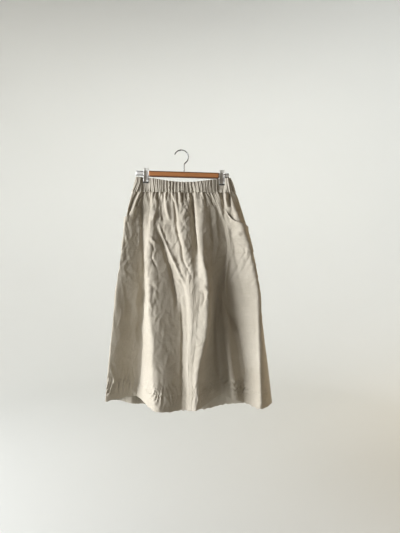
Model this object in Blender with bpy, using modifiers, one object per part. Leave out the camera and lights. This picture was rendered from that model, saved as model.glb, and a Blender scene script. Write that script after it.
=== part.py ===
"""Gathered skirt hanging by its waistband from a wooden clip hanger.

The skirt is a closed tube of cloth. One table row describes each large fold from the
waist seam to the hem, front and back, and a smooth loop runs through the rows at every
height. Small even gathers ride on that loop at the waistband and fade out below it.
The hanger is a wooden bar with a wire hook, steel end bars and two spring clips.

Frame: metres, +Z up, the front of the skirt faces -Y, and the origin is the inner top
of the wire hook, where the hanger is held. The tables and sizes are in millimetres.
"""
import math
from collections import namedtuple

import bmesh
import bpy
from mathutils import Vector

MM = 0.001

# Cloth
PANEL_WALL = 1.2
CASING_WALL = 2.0
SEAM_GAP = 0.3
GATHERS = 30
GATHER_DEPTH = 1.7
GATHER_DRIFT = 0.35
GATHER_DRIFT_TURNS = 5.3
GATHER_DRIFT_START = 0.7
GATHER_SWELL = 0.25
GATHER_SWELL_TURNS = 11.0
GATHER_SWELL_START = 1.9
GATHER_FADE = 0.20
FADE_POWER = 1.5
GATHER_END_REACH = 0.025
COLUMNS_PER_GATHER = 4
PLAN_STEP = 0.002
WALL_STEP = 0.0012
SEAM_STEP = 0.0005
SEAM_SHARE = 0.6
PLACE_TOLERANCE = 1e-6
FINE_ROWS = (0.0, 0.022, 0.052, 0.095)
COARSE_ROWS = (0.15, 0.215, 0.285, 0.36, 0.44, 0.53, 0.62, 0.71, 0.80, 0.90, 1.0)
BAND_ROWS = (0.0, 0.25, 0.5, 0.75, 1.0)

# Heights of the table's columns, as shares of the drop from the waist seam to the hem
LEVELS = (0.0, 0.09, 0.265, 0.4525, 0.64, 0.815, 1.0)

# A large fold: where it lies along the waist (share), its place (x, y) at each level,
# and the height of its hem
Fold = namedtuple("Fold", "name share seam high_hip hip thigh knee shin hem hem_z")
FRONT_FOLDS = (
    Fold("left side seam", 0.000, (-169, 2), (-182, 2), (-199, 3), (-217, 2),
         (-230, 0), (-240, -3), (-253, -5), -848),
    Fold("left flap ridge", 0.062, (-147, -8), (-164, -10), (-183, -13), (-199, -16),
         (-211, -18), (-220, -20), (-229, -20), -843),
    Fold("left deep valley", 0.139, (-120, -4), (-131, -2), (-133, 4), (-131, 10),
         (-140, 14), (-148, 18), (-160, 22), -842),
    Fold("left bulge ridge", 0.227, (-89, -8), (-102, -13), (-108, -22), (-104, -38),
         (-96, -56), (-89, -72), (-81, -84), -858),
    Fold("slanting valley", 0.320, (-55, -10), (-69, -8), (-57, -12), (-24, -18),
         (-10, -28), (-10, -42), (-9, -54), -865),
    Fold("middle slope", 0.448, (-11, -12), (6, -16), (20, -28), (30, -44),
         (24, -54), (17, -64), (18, -72), -858),
    Fold("middle cleft", 0.585, (38, -5), (44, -6), (51, -20), (60, -46),
         (53, -62), (40, -74), (37, -82), -855),
    Fold("middle ridge", 0.637, (56, -12), (68, -24), (74, -40), (88, -56),
         (85, -70), (64, -80), (57, -86), -852),
    Fold("right deep valley", 0.722, (87, -10), (120, -6), (147, 0), (126, 4),
         (121, 8), (125, 14), (135, 22), -838),
    Fold("right low ridge", 0.782, (107, -9), (134, -8), (160, -4), (148, -4),
         (154, -10), (164, -15), (177, -18), -841),
    Fold("right slanting valley", 0.858, (134, -4), (148, -8), (175, -8), (169, 0),
         (187, 2), (211, -2), (222, -4), -859),
    Fold("right panel ridge", 0.925, (157, -10), (177, -20), (212, -34), (242, -47),
         (253, -58), (256, -66), (258, -72), -854),
    Fold("right side seam", 1.000, (184, 2), (206, 2), (240, -1), (258, -4),
         (273, -8), (290, -12), (305, -14), -850),
)
BACK_FOLDS = (
    Fold("back edge ridge, left", 0.035, (-160, 9), (-173, 11), (-191, 15), (-206, 20),
         (-218, 25), (-229, 29), (-240, 32), -857),
    Fold("back ridge 1", 0.120, (-122, 4), (-144, 13), (-164, 22), (-180, 31),
         (-193, 38), (-205, 44), (-217, 49), -864),
    Fold("back valley 1", 0.220, (-88, 8), (-103, 10), (-118, 17), (-134, 25),
         (-150, 31), (-164, 36), (-176, 40), -872),
    Fold("back ridge 2", 0.340, (-48, 11), (-60, 19), (-72, 29), (-86, 38),
         (-100, 46), (-114, 52), (-126, 57), -880),
    Fold("back valley 2", 0.460, (-8, 11), (-14, 13), (-24, 18), (-36, 24),
         (-48, 29), (-59, 33), (-68, 36), -886),
    Fold("back ridge 3", 0.570, (32, 12), (30, 20), (25, 29), (17, 38),
         (9, 46), (1, 52), (-6, 57), -889),
    Fold("back valley 3", 0.680, (72, 10), (74, 13), (76, 18), (75, 24),
         (73, 29), (70, 33), (66, 37), -892),
    Fold("back ridge 4", 0.780, (107, 8), (120, 18), (131, 27), (137, 36),
         (141, 44), (143, 51), (145, 56), -881),
    Fold("back valley 4", 0.870, (136, 4), (160, 11), (182, 16), (197, 22),
         (208, 27), (216, 32), (224, 37), -868),
    Fold("back edge ridge, right", 0.965, (174, 11), (195, 12), (224, 15), (239, 20),
         (252, 25), (264, 29), (276, 31), -857),
)

# The casing above the seam, at the same folds: its place at the top edge and at the
# clips' jaws, the top edge's height, and the seam's height
Casing = namedtuple("Casing", "share top jaw top_z seam_z")
FRONT_CASING = (
    Casing(0.000, (-154, 0), (-160, 1), -90, -141),
    Casing(0.062, (-138, -7), (-141, -7), -92, -141),
    Casing(0.139, (-120, -1.4), (-120, -1.4), -93, -141),
    Casing(0.227, (-93, -6), (-91, -7), -96, -142),
    Casing(0.320, (-56, -9), (-56, -10), -100, -142),
    Casing(0.448, (-11, -10), (-11, -11), -103, -143),
    Casing(0.585, (33, -10), (35, -8), -103, -143),
    Casing(0.637, (50, -10), (53, -11), -102, -143),
    Casing(0.722, (83, -9), (85, -10), -99, -143),
    Casing(0.782, (106, -6), (106, -7), -97, -143),
    Casing(0.858, (137, -1.4), (137, -1.4), -96, -143),
    Casing(0.925, (154, -8), (156, -9), -95, -143),
    Casing(1.000, (167, 0), (175, 1), -94, -143),
)
BACK_CASING = (
    Casing(0.035, (-149, 7), (-153, 8), -91, -141),
    Casing(0.120, (-120, 1.4), (-120, 1.4), -93, -141),
    Casing(0.220, (-88, 7), (-88, 7), -96, -142),
    Casing(0.340, (-48, 10), (-48, 10), -100, -143),
    Casing(0.460, (-8, 10.5), (-8, 11), -103, -143),
    Casing(0.570, (32, 10.5), (32, 11), -103, -143),
    Casing(0.680, (71, 9.5), (72, 10), -101, -143),
    Casing(0.780, (106, 6), (106, 7), -98, -143),
    Casing(0.870, (137, 1.4), (137, 1.4), -96, -143),
    Casing(0.965, (160, 7), (165, 9), -95, -143),
)
CASING_LEVELS = (0.0, 0.42, 1.0)

# Pockets: each bag's edges as shares along the waist and of the drop, and the outline
# (x, z) of the hand opening that is cut out of its upper outer corner
POCKET_WALL = 1.0
POCKET_LIFT = 0.4
POCKET_TOP = 0.022
POCKET_BOTTOM = 0.285
POCKET_EDGES = {"left": (1 / 60, 7 / 60), "right": (52 / 60, 59 / 60)}
MOUTHS = {
    "left": ((-136, -120), (-137, -150), (-146, -174), (-158, -198), (-172, -219),
             (-185, -231), (-230, -243), (-230, -120)),
    "right": ((139, -120), (140, -155), (142, -178), (149, -197), (161, -225),
              (173, -236), (219, -262), (265, -275), (265, -120)),
}
MOUTH_CUT_DEPTH = 120.0
MERGE_DISTANCE = 0.01

# Hanger, in its own level frame, which hangs tilted about the hook's seat
TILT = math.radians(1.7)
WIRE = 4.0
HOOK_RADIUS = 24.0
HOOK_TIP_ANGLE = math.radians(158)
HOOK_END_ANGLE = math.radians(-52)
HOOK_NECK_RADIUS = 11.0
HOOK_STEPS = 22
NECK_STEPS = 5
STEM_BEND = 4.0
BAR_LENGTH = 238.0
BAR_HEIGHT = 20.0
BAR_THICKNESS = 12.0
BAR_Z = -82.1
BAR_ROUNDING = 3.0
STEM_DEPTH = 12.0
END_HEIGHT = 15.0
END_THICKNESS = 5.0
END_Z = -81.0
END_REACH = {"left": -152.5, "right": 164.0}
END_INSERT = 14.0
END_ROUNDING = 1.2
CLIP_X = {"left": -117.6, "right": 139.8}
CLIP_WIDTH = 16.0
CLIP_REACH = 13.5
CLOTH_AT_CLIP = 1.4
JAW_DEPTH = 0.5
PINCH_EDGE = 6
SHEET = 1.0
# The clip plate's centre line from the finger tab down to the jaw, front side (y, z)
PLATE_LINE = ((-8.5, -64.5), (-6.2, -67.5), (-3.3, -72.5), (-3.3, -90.0),
              (-4.8, -101.0), (-4.8, -113.0))
PAD_THICKNESS = 1.3
PAD_FACE = 2.7
PAD_TOP = -106.0
PAD_BOTTOM = -114.2
PAD_OVERHANG = 1.0
SPRING_RADIUS = 2.8
SPRING_INSET = 4.0

SKIRT_MATERIALS = {
    "front_panel": (0.62, 0.57, 0.47),
    "back_panel": (0.56, 0.51, 0.42),
    "waistband_front": (0.66, 0.61, 0.51),
    "waistband_back": (0.60, 0.55, 0.46),
    "pocket_left": (0.68, 0.62, 0.50),
    "pocket_right": (0.70, 0.64, 0.52),
}


def clear_scene():
    """Remove every object of the open scene."""
    for item in list(bpy.data.objects):
        bpy.data.objects.remove(item, do_unlink=True)


def new_collection(name):
    """A collection linked to the scene."""
    collection = bpy.data.collections.new(name)
    bpy.context.scene.collection.children.link(collection)
    return collection


def finish(name, colour, roughness, metallic=0.0):
    """A plain Principled material."""
    material = bpy.data.materials.new(name)
    material.use_nodes = True
    shader = material.node_tree.nodes["Principled BSDF"]
    shader.inputs["Base Color"].default_value = (*colour, 1.0)
    shader.inputs["Roughness"].default_value = roughness
    shader.inputs["Metallic"].default_value = metallic
    return material


def add_object(name, data, collection, material, parent=None):
    """Link a mesh or curve under its node's name."""
    item = bpy.data.objects.new(name, data)
    collection.objects.link(item)
    data.materials.append(material)
    item.parent = parent
    return item


def through(knots, values, t, period=None):
    """A smooth curve through values at uneven knots, closed when it has a period."""
    count = len(knots)
    if period is None:
        t = min(max(t, knots[0]), knots[-1])
    else:
        t = t % period

    def knot(i):
        if period is None:
            return knots[min(max(i, 0), count - 1)]
        return knots[i % count] + period * (i // count)

    def value(i):
        if period is None:
            return values[min(max(i, 0), count - 1)]
        return values[i % count]

    last = count - 1 if period is not None else count - 2
    i = 0
    while i < last and knot(i + 1) <= t:
        i += 1
    k0, k1, k2, k3 = (knot(i + step) for step in (-1, 0, 1, 2))
    v0, v1, v2, v3 = (value(i + step) for step in (-1, 0, 1, 2))
    span = k2 - k1
    s = (t - k1) / span
    out = []
    for a, b, c, d in zip(v0, v1, v2, v3):
        start = (c - a) / (k2 - k0) * span
        end = (d - b) / (k3 - k1) * span
        out.append((2 * s**3 - 3 * s**2 + 1) * b + (s**3 - 2 * s**2 + s) * start
                   + (3 * s**2 - 2 * s**3) * c + (s**3 - s**2) * end)
    return out


def around(share, side):
    """Place on the closed loop, 0 to 1 along the front and on to 2 along the back."""
    return share if side == "front" else 2.0 - share


def loop_rows(front, back):
    """All rows in order round the loop, with their knots."""
    rows = list(front) + list(reversed(back))
    knots = [around(row.share, "front") for row in front]
    knots += [around(row.share, "back") for row in reversed(back)]
    return rows, knots


PANEL_ROWS, PANEL_KNOTS = loop_rows(FRONT_FOLDS, BACK_FOLDS)
BAND_ROWS_TABLE, BAND_KNOTS = loop_rows(FRONT_CASING, BACK_CASING)


def band_seam(row_index):
    """The seam point of the fold that a casing row belongs to."""
    return PANEL_ROWS[row_index].seam


def panel_plan(t, drop):
    """The skirt's plan point and height at a loop place and a share of the drop."""
    points = []
    for row, casing in zip(PANEL_ROWS, BAND_ROWS_TABLE):
        levels = (row.seam, row.high_hip, row.hip, row.thigh, row.knee, row.shin, row.hem)
        x, y = through(LEVELS, levels, drop)
        seam_z = casing.seam_z - SEAM_GAP
        points.append((x, y, seam_z + drop * (row.hem_z - seam_z)))
    return through(PANEL_KNOTS, points, t, period=2.0)


def casing_plan(t, depth):
    """The casing's plan point and height, from its top edge (0) to the seam (1)."""
    points = []
    for index, row in enumerate(BAND_ROWS_TABLE):
        x, y = through(CASING_LEVELS, (row.top, row.jaw, band_seam(index)), depth)
        points.append((x, y, row.top_z + depth * (row.seam_z - row.top_z)))
    return through(BAND_KNOTS, points, t, period=2.0)


def pinched(x, depth):
    """How firmly a clip holds the casing flat at a place, 0 to 1."""
    hold = 0.0
    for clip_x in CLIP_X.values():
        line = clip_x * math.cos(TILT) + PAD_BOTTOM * math.sin(TILT)
        hold = max(hold, math.exp(-((x - line) / CLIP_REACH) ** PINCH_EDGE))
    if depth > JAW_DEPTH:
        s = (depth - JAW_DEPTH) / (1.0 - JAW_DEPTH)
        hold *= 1.0 - s * s * (3.0 - 2.0 * s)
    return hold


def gather(t):
    """How far a gather stands out at a loop place: even waves that drift a little."""
    drift = math.sin(GATHER_DRIFT_TURNS * math.pi * t + GATHER_DRIFT_START)
    phase = GATHERS * t + GATHER_DRIFT * drift
    swell = 1.0 + GATHER_SWELL * math.sin(GATHER_SWELL_TURNS * math.pi * t + GATHER_SWELL_START)
    from_seam = abs((t + 0.5) % 1.0 - 0.5) / GATHER_END_REACH
    calm = 1.0 - math.exp(-from_seam ** 2)
    return GATHER_DEPTH * calm * swell * math.cos(2 * math.pi * phase)


def displaced(plan, t, level, strength):
    """Move a plan point out along the loop's normal by its gather."""
    x, y, z = plan(t, level)
    ahead = plan(t + PLAN_STEP, level)
    behind = plan(t - PLAN_STEP, level)
    normal = Vector((ahead[1] - behind[1], behind[0] - ahead[0])).normalized()
    wave = gather(t) * strength
    return Vector((x + normal.x * wave, y + normal.y * wave, z))


def skirt_point(t, drop):
    """A point of the panels' middle surface, with its gathers fading down the skirt."""
    return displaced(panel_plan, t, drop, math.exp(-((drop / GATHER_FADE) ** FADE_POWER)))


def casing_point(t, depth):
    """A point of the casing's middle surface, held flat under the clips."""
    hold = pinched(casing_plan(t, depth)[0], depth)
    point = displaced(casing_plan, t, depth, 1.0 - hold)
    flat = -CLOTH_AT_CLIP if 0.0 < t % 2.0 < 1.0 else CLOTH_AT_CLIP
    point.y += (flat - point.y) * hold
    return point


def wall_normal(surface, t, level):
    """The outward direction across the wall, level with the floor."""
    run = surface(t + WALL_STEP, level) - surface(t - WALL_STEP, level)
    return Vector((run.y, -run.x, 0.0)).normalized()


def sheet_row(surface, places, level):
    """One row of a surface: each place with its point and its outward direction."""
    return [(t, surface(t, level), wall_normal(surface, t, level)) for t in places]


def strip(build, upper, lower, flip):
    """Triangles between two rows of (place, vertex), in step along the loop."""
    i = 0
    j = 0
    while i < len(upper) - 1 or j < len(lower) - 1:
        down_next = j < len(lower) - 1 and (
            i == len(upper) - 1 or lower[j + 1][0] <= upper[i + 1][0] + PLACE_TOLERANCE)
        if down_next:
            face = (upper[i][1], lower[j][1], lower[j + 1][1])
            j += 1
        else:
            face = (upper[i][1], lower[j][1], upper[i + 1][1])
            i += 1
        build.faces.new(tuple(reversed(face)) if flip else face)


def closed_wall(name, rows, thickness, lift=0.0):
    """A closed wall of even thickness on rows of a surface, top row first."""
    build = bmesh.new()
    sheets = {}
    for face, offset in (("outer", thickness / 2), ("inner", -thickness / 2)):
        sheets[face] = []
        for row in rows:
            sheets[face].append([(t, build.verts.new((point + across * (lift + offset)) * MM))
                                 for t, point, across in row])
    outer = sheets["outer"]
    inner = sheets["inner"]
    for k in range(len(rows) - 1):
        strip(build, outer[k], outer[k + 1], False)
        strip(build, inner[k], inner[k + 1], True)
        for end in (0, -1):
            rim = (outer[k][end][1], inner[k][end][1],
                   inner[k + 1][end][1], outer[k + 1][end][1])
            build.faces.new(rim if end == 0 else tuple(reversed(rim)))
    for k in (0, -1):
        for i in range(len(outer[k]) - 1):
            rim = (outer[k][i][1], outer[k][i + 1][1], inner[k][i + 1][1], inner[k][i][1])
            build.faces.new(rim if k == 0 else tuple(reversed(rim)))
    bmesh.ops.triangulate(build, faces=[f for f in build.faces if len(f.verts) == 4])
    mesh = bpy.data.meshes.new(name)
    build.to_mesh(mesh)
    build.free()
    mesh.shade_smooth()
    return mesh


def seam_inset(surface, t, level, toward):
    """Step along the loop from a side seam that leaves half the gap."""
    here = surface(t, level)
    speed = (surface(t + toward * SEAM_STEP, level) - here).length / SEAM_STEP
    return SEAM_GAP * SEAM_SHARE / speed


def places_on(surface, level, side, columns):
    """Loop places of a row's columns, kept half a gap clear of both side seams."""
    start, end = (0.0, 1.0) if side == "front" else (1.0, 2.0)
    first = start + seam_inset(surface, start, level, 1)
    last = end - seam_inset(surface, end, level, -1)
    places = [start + i / columns for i in range(columns + 1)]
    places[0] = first
    places[-1] = last
    return places


def panel_row(side, drop):
    """One row of a panel, with fewer columns below the gathers."""
    fine = GATHERS * COLUMNS_PER_GATHER
    columns = fine if drop in FINE_ROWS else fine // 2
    return sheet_row(skirt_point, places_on(skirt_point, drop, side, columns), drop)


def panel_mesh(name, side):
    """One panel from the waist seam to the hem."""
    rows = [panel_row(side, drop) for drop in FINE_ROWS + COARSE_ROWS]
    return closed_wall(name, rows, PANEL_WALL)


def band_mesh(name, side):
    """One half of the elastic casing."""
    columns = GATHERS * COLUMNS_PER_GATHER
    rows = []
    for depth in BAND_ROWS:
        places = places_on(casing_point, depth, side, columns)
        rows.append(sheet_row(casing_point, places, depth))
    return closed_wall(name, rows, CASING_WALL)


def pocket_mesh(name, side):
    """A patch on the front panel's own rows and columns, moved out."""
    low, high = POCKET_EDGES[side]
    rows = []
    for drop in FINE_ROWS + COARSE_ROWS:
        if POCKET_TOP <= drop <= POCKET_BOTTOM:
            rows.append([place for place in panel_row("front", drop)
                         if low - PLACE_TOLERANCE < place[0] < high + PLACE_TOLERANCE])
    lift = PANEL_WALL / 2 + POCKET_LIFT + POCKET_WALL / 2
    return closed_wall(name, rows, POCKET_WALL, lift)


def mouth_cutter(side, collection, material):
    """A flat outline of the hand opening, thick enough to pass through the patch."""
    curve = bpy.data.curves.new("mouth_" + side, "CURVE")
    curve.dimensions = "2D"
    curve.fill_mode = "BOTH"
    curve.extrude = MOUTH_CUT_DEPTH / 2 * MM
    spline = curve.splines.new("POLY")
    spline.points.add(len(MOUTHS[side]) - 1)
    for place, (x, z) in zip(spline.points, MOUTHS[side]):
        place.co = (x * MM, z * MM, 0.0, 1.0)
    spline.use_cyclic_u = True
    outline = add_object("mouth_outline_" + side, curve, collection, material)
    outline.rotation_euler = (math.radians(90), 0.0, 0.0)
    bpy.context.view_layer.update()
    graph = bpy.context.evaluated_depsgraph_get()
    mesh = bpy.data.meshes.new_from_object(outline.evaluated_get(graph))
    build = bmesh.new()
    build.from_mesh(mesh)
    bmesh.ops.remove_doubles(build, verts=build.verts, dist=MERGE_DISTANCE * MM)
    bmesh.ops.recalc_face_normals(build, faces=build.faces)
    build.to_mesh(mesh)
    build.free()
    cutter = bpy.data.objects.new("mouth_" + side, mesh)
    collection.objects.link(cutter)
    cutter.matrix_world = outline.matrix_world
    bpy.data.objects.remove(outline)
    return cutter


def box_object(name, size, centre, collection, material, parent, rounding=0.0):
    """A box with its scale applied, and rounded edges where they are asked for."""
    build = bmesh.new()
    bmesh.ops.create_cube(build, size=1.0)
    bmesh.ops.scale(build, vec=Vector(size) * MM, verts=build.verts)
    mesh = bpy.data.meshes.new(name)
    build.to_mesh(mesh)
    build.free()
    item = add_object(name, mesh, collection, material, parent)
    item.location = Vector(centre) * MM
    if rounding:
        bevel = item.modifiers.new("rounding", "BEVEL")
        bevel.width = rounding * MM
        bevel.segments = 2
        bevel.limit_method = "ANGLE"
    return item


def cut_from(item, cutter, cutters):
    """Cut one object out of another with an exact boolean."""
    for owner in list(cutter.users_collection):
        owner.objects.unlink(cutter)
    cutters.objects.link(cutter)
    cutter.hide_render = True
    cutter.display_type = "WIRE"
    cut = item.modifiers.new("cut", "BOOLEAN")
    cut.operation = "DIFFERENCE"
    cut.solver = "EXACT"
    cut.object = cutter


def hook_points():
    """The wire's centre line from its tip over the top, round the neck and down."""
    centre_z = WIRE / 2 - HOOK_RADIUS
    points = []
    for i in range(HOOK_STEPS + 1):
        angle = HOOK_TIP_ANGLE + (HOOK_END_ANGLE - HOOK_TIP_ANGLE) * i / HOOK_STEPS
        points.append((HOOK_RADIUS * math.cos(angle), centre_z + HOOK_RADIUS * math.sin(angle)))
    heading = Vector((math.sin(HOOK_END_ANGLE), -math.cos(HOOK_END_ANGLE)))
    side = Vector((-heading.y, heading.x))
    neck = Vector(points[-1]) + side * HOOK_NECK_RADIUS
    for i in range(1, NECK_STEPS + 1):
        angle = -HOOK_END_ANGLE * i / NECK_STEPS
        arm = -side * math.cos(angle) + heading * math.sin(angle)
        points.append(tuple(neck + arm * HOOK_NECK_RADIUS))
    bar_top = BAR_Z + BAR_HEIGHT / 2
    points.append((points[-1][0], bar_top + STEM_BEND))
    points.append((points[-1][0], bar_top - STEM_DEPTH + SEAM_GAP))
    return points


def hook_object(collection, parent):
    """The bent wire with closed ends, and its stem's place along the bar."""
    points = hook_points()
    curve = bpy.data.curves.new("hanger_hook", "CURVE")
    curve.dimensions = "3D"
    curve.bevel_depth = WIRE / 2 * MM
    curve.bevel_resolution = 2
    curve.use_fill_caps = True
    spline = curve.splines.new("POLY")
    spline.points.add(len(points) - 1)
    for place, (x, z) in zip(spline.points, points):
        place.co = (x * MM, 0.0, z * MM, 1.0)
    steel = finish("hook steel", (0.55, 0.54, 0.52), 0.3, 1.0)
    add_object("hanger_hook", curve, collection, steel, parent)
    return points[-1][0]


def build_bar(stem_x, collection, cutters, parent):
    """The wooden bar, bored for the stem and mortised for both end bars."""
    wood = finish("stained wood", (0.48, 0.24, 0.09), 0.45)
    bar = box_object("hanger_bar", (BAR_LENGTH, BAR_THICKNESS, BAR_HEIGHT),
                     (stem_x, 0.0, BAR_Z), collection, wood, parent, BAR_ROUNDING)
    bore = bmesh.new()
    bmesh.ops.create_cone(bore, cap_ends=True, segments=16,
                          radius1=(WIRE / 2 + SEAM_GAP) * MM,
                          radius2=(WIRE / 2 + SEAM_GAP) * MM,
                          depth=2 * STEM_DEPTH * MM)
    mesh = bpy.data.meshes.new("stem_bore")
    bore.to_mesh(mesh)
    bore.free()
    cutter = add_object("stem_bore", mesh, collection, wood, parent)
    cutter.location = Vector((stem_x, 0.0, BAR_Z + BAR_HEIGHT / 2)) * MM
    cut_from(bar, cutter, cutters)
    for side, sign in (("left", -1), ("right", 1)):
        end_x = stem_x + sign * BAR_LENGTH / 2
        mortise = box_object("mortise_" + side,
                             (2 * END_INSERT, END_THICKNESS + 2 * SEAM_GAP,
                              END_HEIGHT + 2 * SEAM_GAP),
                             (end_x, 0.0, END_Z), collection, wood, parent)
        cut_from(bar, mortise, cutters)


def build_end(side, stem_x, collection, parent):
    """One steel end bar, from inside the wood out past its clip."""
    sign = -1 if side == "left" else 1
    wood_end = stem_x + sign * BAR_LENGTH / 2
    inner = wood_end - sign * (END_INSERT - SEAM_GAP)
    outer = END_REACH[side]
    steel = finish("end steel " + side, (0.62, 0.61, 0.58), 0.28, 1.0)
    box_object("hanger_end_" + side, (abs(outer - inner), END_THICKNESS, END_HEIGHT),
               ((outer + inner) / 2, 0.0, END_Z), collection, steel, parent, END_ROUNDING)


def build_plate(side, face, collection, parent):
    """One folded clip plate, as a sheet with Solidify."""
    sign = 1 if face == "front" else -1
    build = bmesh.new()
    left = []
    right = []
    for y, z in PLATE_LINE:
        left.append(build.verts.new(Vector((-CLIP_WIDTH / 2, sign * y, z)) * MM))
        right.append(build.verts.new(Vector((CLIP_WIDTH / 2, sign * y, z)) * MM))
    for i in range(len(left) - 1):
        quad = (left[i], left[i + 1], right[i + 1], right[i])
        build.faces.new(quad if face == "front" else tuple(reversed(quad)))
    mesh = bpy.data.meshes.new("clip_plate")
    build.to_mesh(mesh)
    build.free()
    steel = finish("clip steel %s %s" % (side, face), (0.60, 0.60, 0.58), 0.32, 1.0)
    plate = add_object("clip_%s_%s" % (side, face), mesh, collection, steel, parent)
    plate.location = Vector((CLIP_X[side], 0.0, 0.0)) * MM
    wall = plate.modifiers.new("sheet", "SOLIDIFY")
    wall.thickness = SHEET * MM
    wall.offset = 0.0
    wall.use_even_offset = True


def build_clip(side, collection, parent):
    """Both plates, the spring barrel between them and the two rubber pads."""
    for face, sign in (("front", -1), ("back", 1)):
        build_plate(side, face, collection, parent)
        rubber = finish("clip rubber %s %s" % (side, face), (0.03, 0.03, 0.03), 0.8)
        box_object("clip_%s_pad_%s" % (side, face),
                   (CLIP_WIDTH + PAD_OVERHANG, PAD_THICKNESS, PAD_TOP - PAD_BOTTOM),
                   (CLIP_X[side], sign * (PAD_FACE + PAD_THICKNESS / 2),
                    (PAD_TOP + PAD_BOTTOM) / 2), collection, rubber, parent)
    barrel = bmesh.new()
    bmesh.ops.create_cone(barrel, cap_ends=True, segments=14, radius1=SPRING_RADIUS * MM,
                          radius2=SPRING_RADIUS * MM, depth=(CLIP_WIDTH - SPRING_INSET) * MM)
    mesh = bpy.data.meshes.new("clip_spring")
    barrel.to_mesh(mesh)
    barrel.free()
    steel = finish("spring steel " + side, (0.35, 0.35, 0.34), 0.4, 1.0)
    spring = add_object("clip_%s_spring" % side, mesh, collection, steel, parent)
    end_top = END_Z + END_HEIGHT / 2
    spring.location = Vector((CLIP_X[side], 0.0, end_top + SEAM_GAP + SPRING_RADIUS)) * MM
    spring.rotation_euler = (0.0, math.radians(90), 0.0)


def build_hanger(collection, cutters):
    """The hanger, parented to an empty that tilts it about the hook's seat."""
    frame = bpy.data.objects.new("hanger_frame", None)
    collection.objects.link(frame)
    frame.rotation_euler = (0.0, TILT, 0.0)
    stem_x = hook_object(collection, frame)
    build_bar(stem_x, collection, cutters, frame)
    for side in ("left", "right"):
        build_end(side, stem_x, collection, frame)
        build_clip(side, collection, frame)


def build_skirt(collection, cutters):
    """Panels, casing halves and pockets."""
    meshes = {
        "front_panel": panel_mesh("front_panel", "front"),
        "back_panel": panel_mesh("back_panel", "back"),
        "waistband_front": band_mesh("waistband_front", "front"),
        "waistband_back": band_mesh("waistband_back", "back"),
        "pocket_left": pocket_mesh("pocket_left", "left"),
        "pocket_right": pocket_mesh("pocket_right", "right"),
    }
    for name, mesh in meshes.items():
        linen = finish(name.replace("_", " ") + " linen", SKIRT_MATERIALS[name], 0.9)
        piece = add_object(name, mesh, collection, linen)
        if name.startswith("pocket"):
            cut_from(piece, mouth_cutter(name.split("_")[1], collection, linen), cutters)


def main():
    """Build the skirt and its hanger."""
    clear_scene()
    parts = new_collection("gathered skirt on clip hanger")
    cutters = new_collection("cutters")
    build_hanger(parts, cutters)
    build_skirt(parts, cutters)


main()
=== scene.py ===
"""Dress the gathered skirt and its wooden clip hanger around the fixed solids.

The cloth follows the same table of folds as the solids, at a finer step, with the
gathers, creases, puckers, turned hem and sewing laid on it. The hanger's bar, end bars,
hook and clips are built again with rounded edges, rolled plates and coiled springs.

Tables and sizes are in millimetres unless a name says otherwise. Finished meshes are in
metres: +X to the right as seen from the front, -Y to the front, +Z up.
"""

import logging
import math
from dataclasses import dataclass, field
from enum import Enum
from typing import NamedTuple

import bmesh
import bpy
import numpy as np
from mathutils import Matrix, Vector


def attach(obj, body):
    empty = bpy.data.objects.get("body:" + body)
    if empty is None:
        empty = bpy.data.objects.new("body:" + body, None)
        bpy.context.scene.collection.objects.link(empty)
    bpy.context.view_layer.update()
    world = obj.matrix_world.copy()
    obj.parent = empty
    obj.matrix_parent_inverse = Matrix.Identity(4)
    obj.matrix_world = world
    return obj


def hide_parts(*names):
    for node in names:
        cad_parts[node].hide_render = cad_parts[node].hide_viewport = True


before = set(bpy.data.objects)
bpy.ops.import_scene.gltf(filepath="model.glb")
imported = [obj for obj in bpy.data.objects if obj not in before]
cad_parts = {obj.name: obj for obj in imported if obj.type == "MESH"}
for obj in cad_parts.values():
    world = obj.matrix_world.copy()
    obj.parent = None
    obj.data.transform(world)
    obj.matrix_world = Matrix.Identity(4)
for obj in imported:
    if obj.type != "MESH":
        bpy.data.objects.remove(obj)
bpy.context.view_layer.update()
LOG = logging.getLogger("gathered_skirt")

MM = 0.001
CLOTH_AT_CLIP = 1.4
CLOTH_SHARP = math.radians(62)
METAL_SHARP = math.radians(40)
UV_NAME = "cut"
BODY = "root"

Pair = tuple[float, float]
Colour = tuple[float, float, float]
Array = np.ndarray


class Side(Enum):
    """Which half of the tube a piece of cloth belongs to."""

    FRONT = "front"
    BACK = "back"

    def span(self) -> Pair:
        """Return the loop places where the half starts and ends."""
        return (0.0, 1.0) if self is Side.FRONT else (1.0, 2.0)


class Hand(Enum):
    """Left or right as seen from the front."""

    LEFT = "left"
    RIGHT = "right"


# Tables of the cloth

class Fold(NamedTuple):
    """One large fold: its place along the waist and its (x, y) at each level."""

    name: str
    share: float
    seam: Pair
    high_hip: Pair
    hip: Pair
    thigh: Pair
    knee: Pair
    shin: Pair
    hem: Pair
    hem_z: float


class Casing(NamedTuple):
    """The same fold above the seam: its (x, y) at the top edge and at the clips."""

    share: float
    top: Pair
    jaw: Pair
    top_z: float
    seam_z: float


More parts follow.
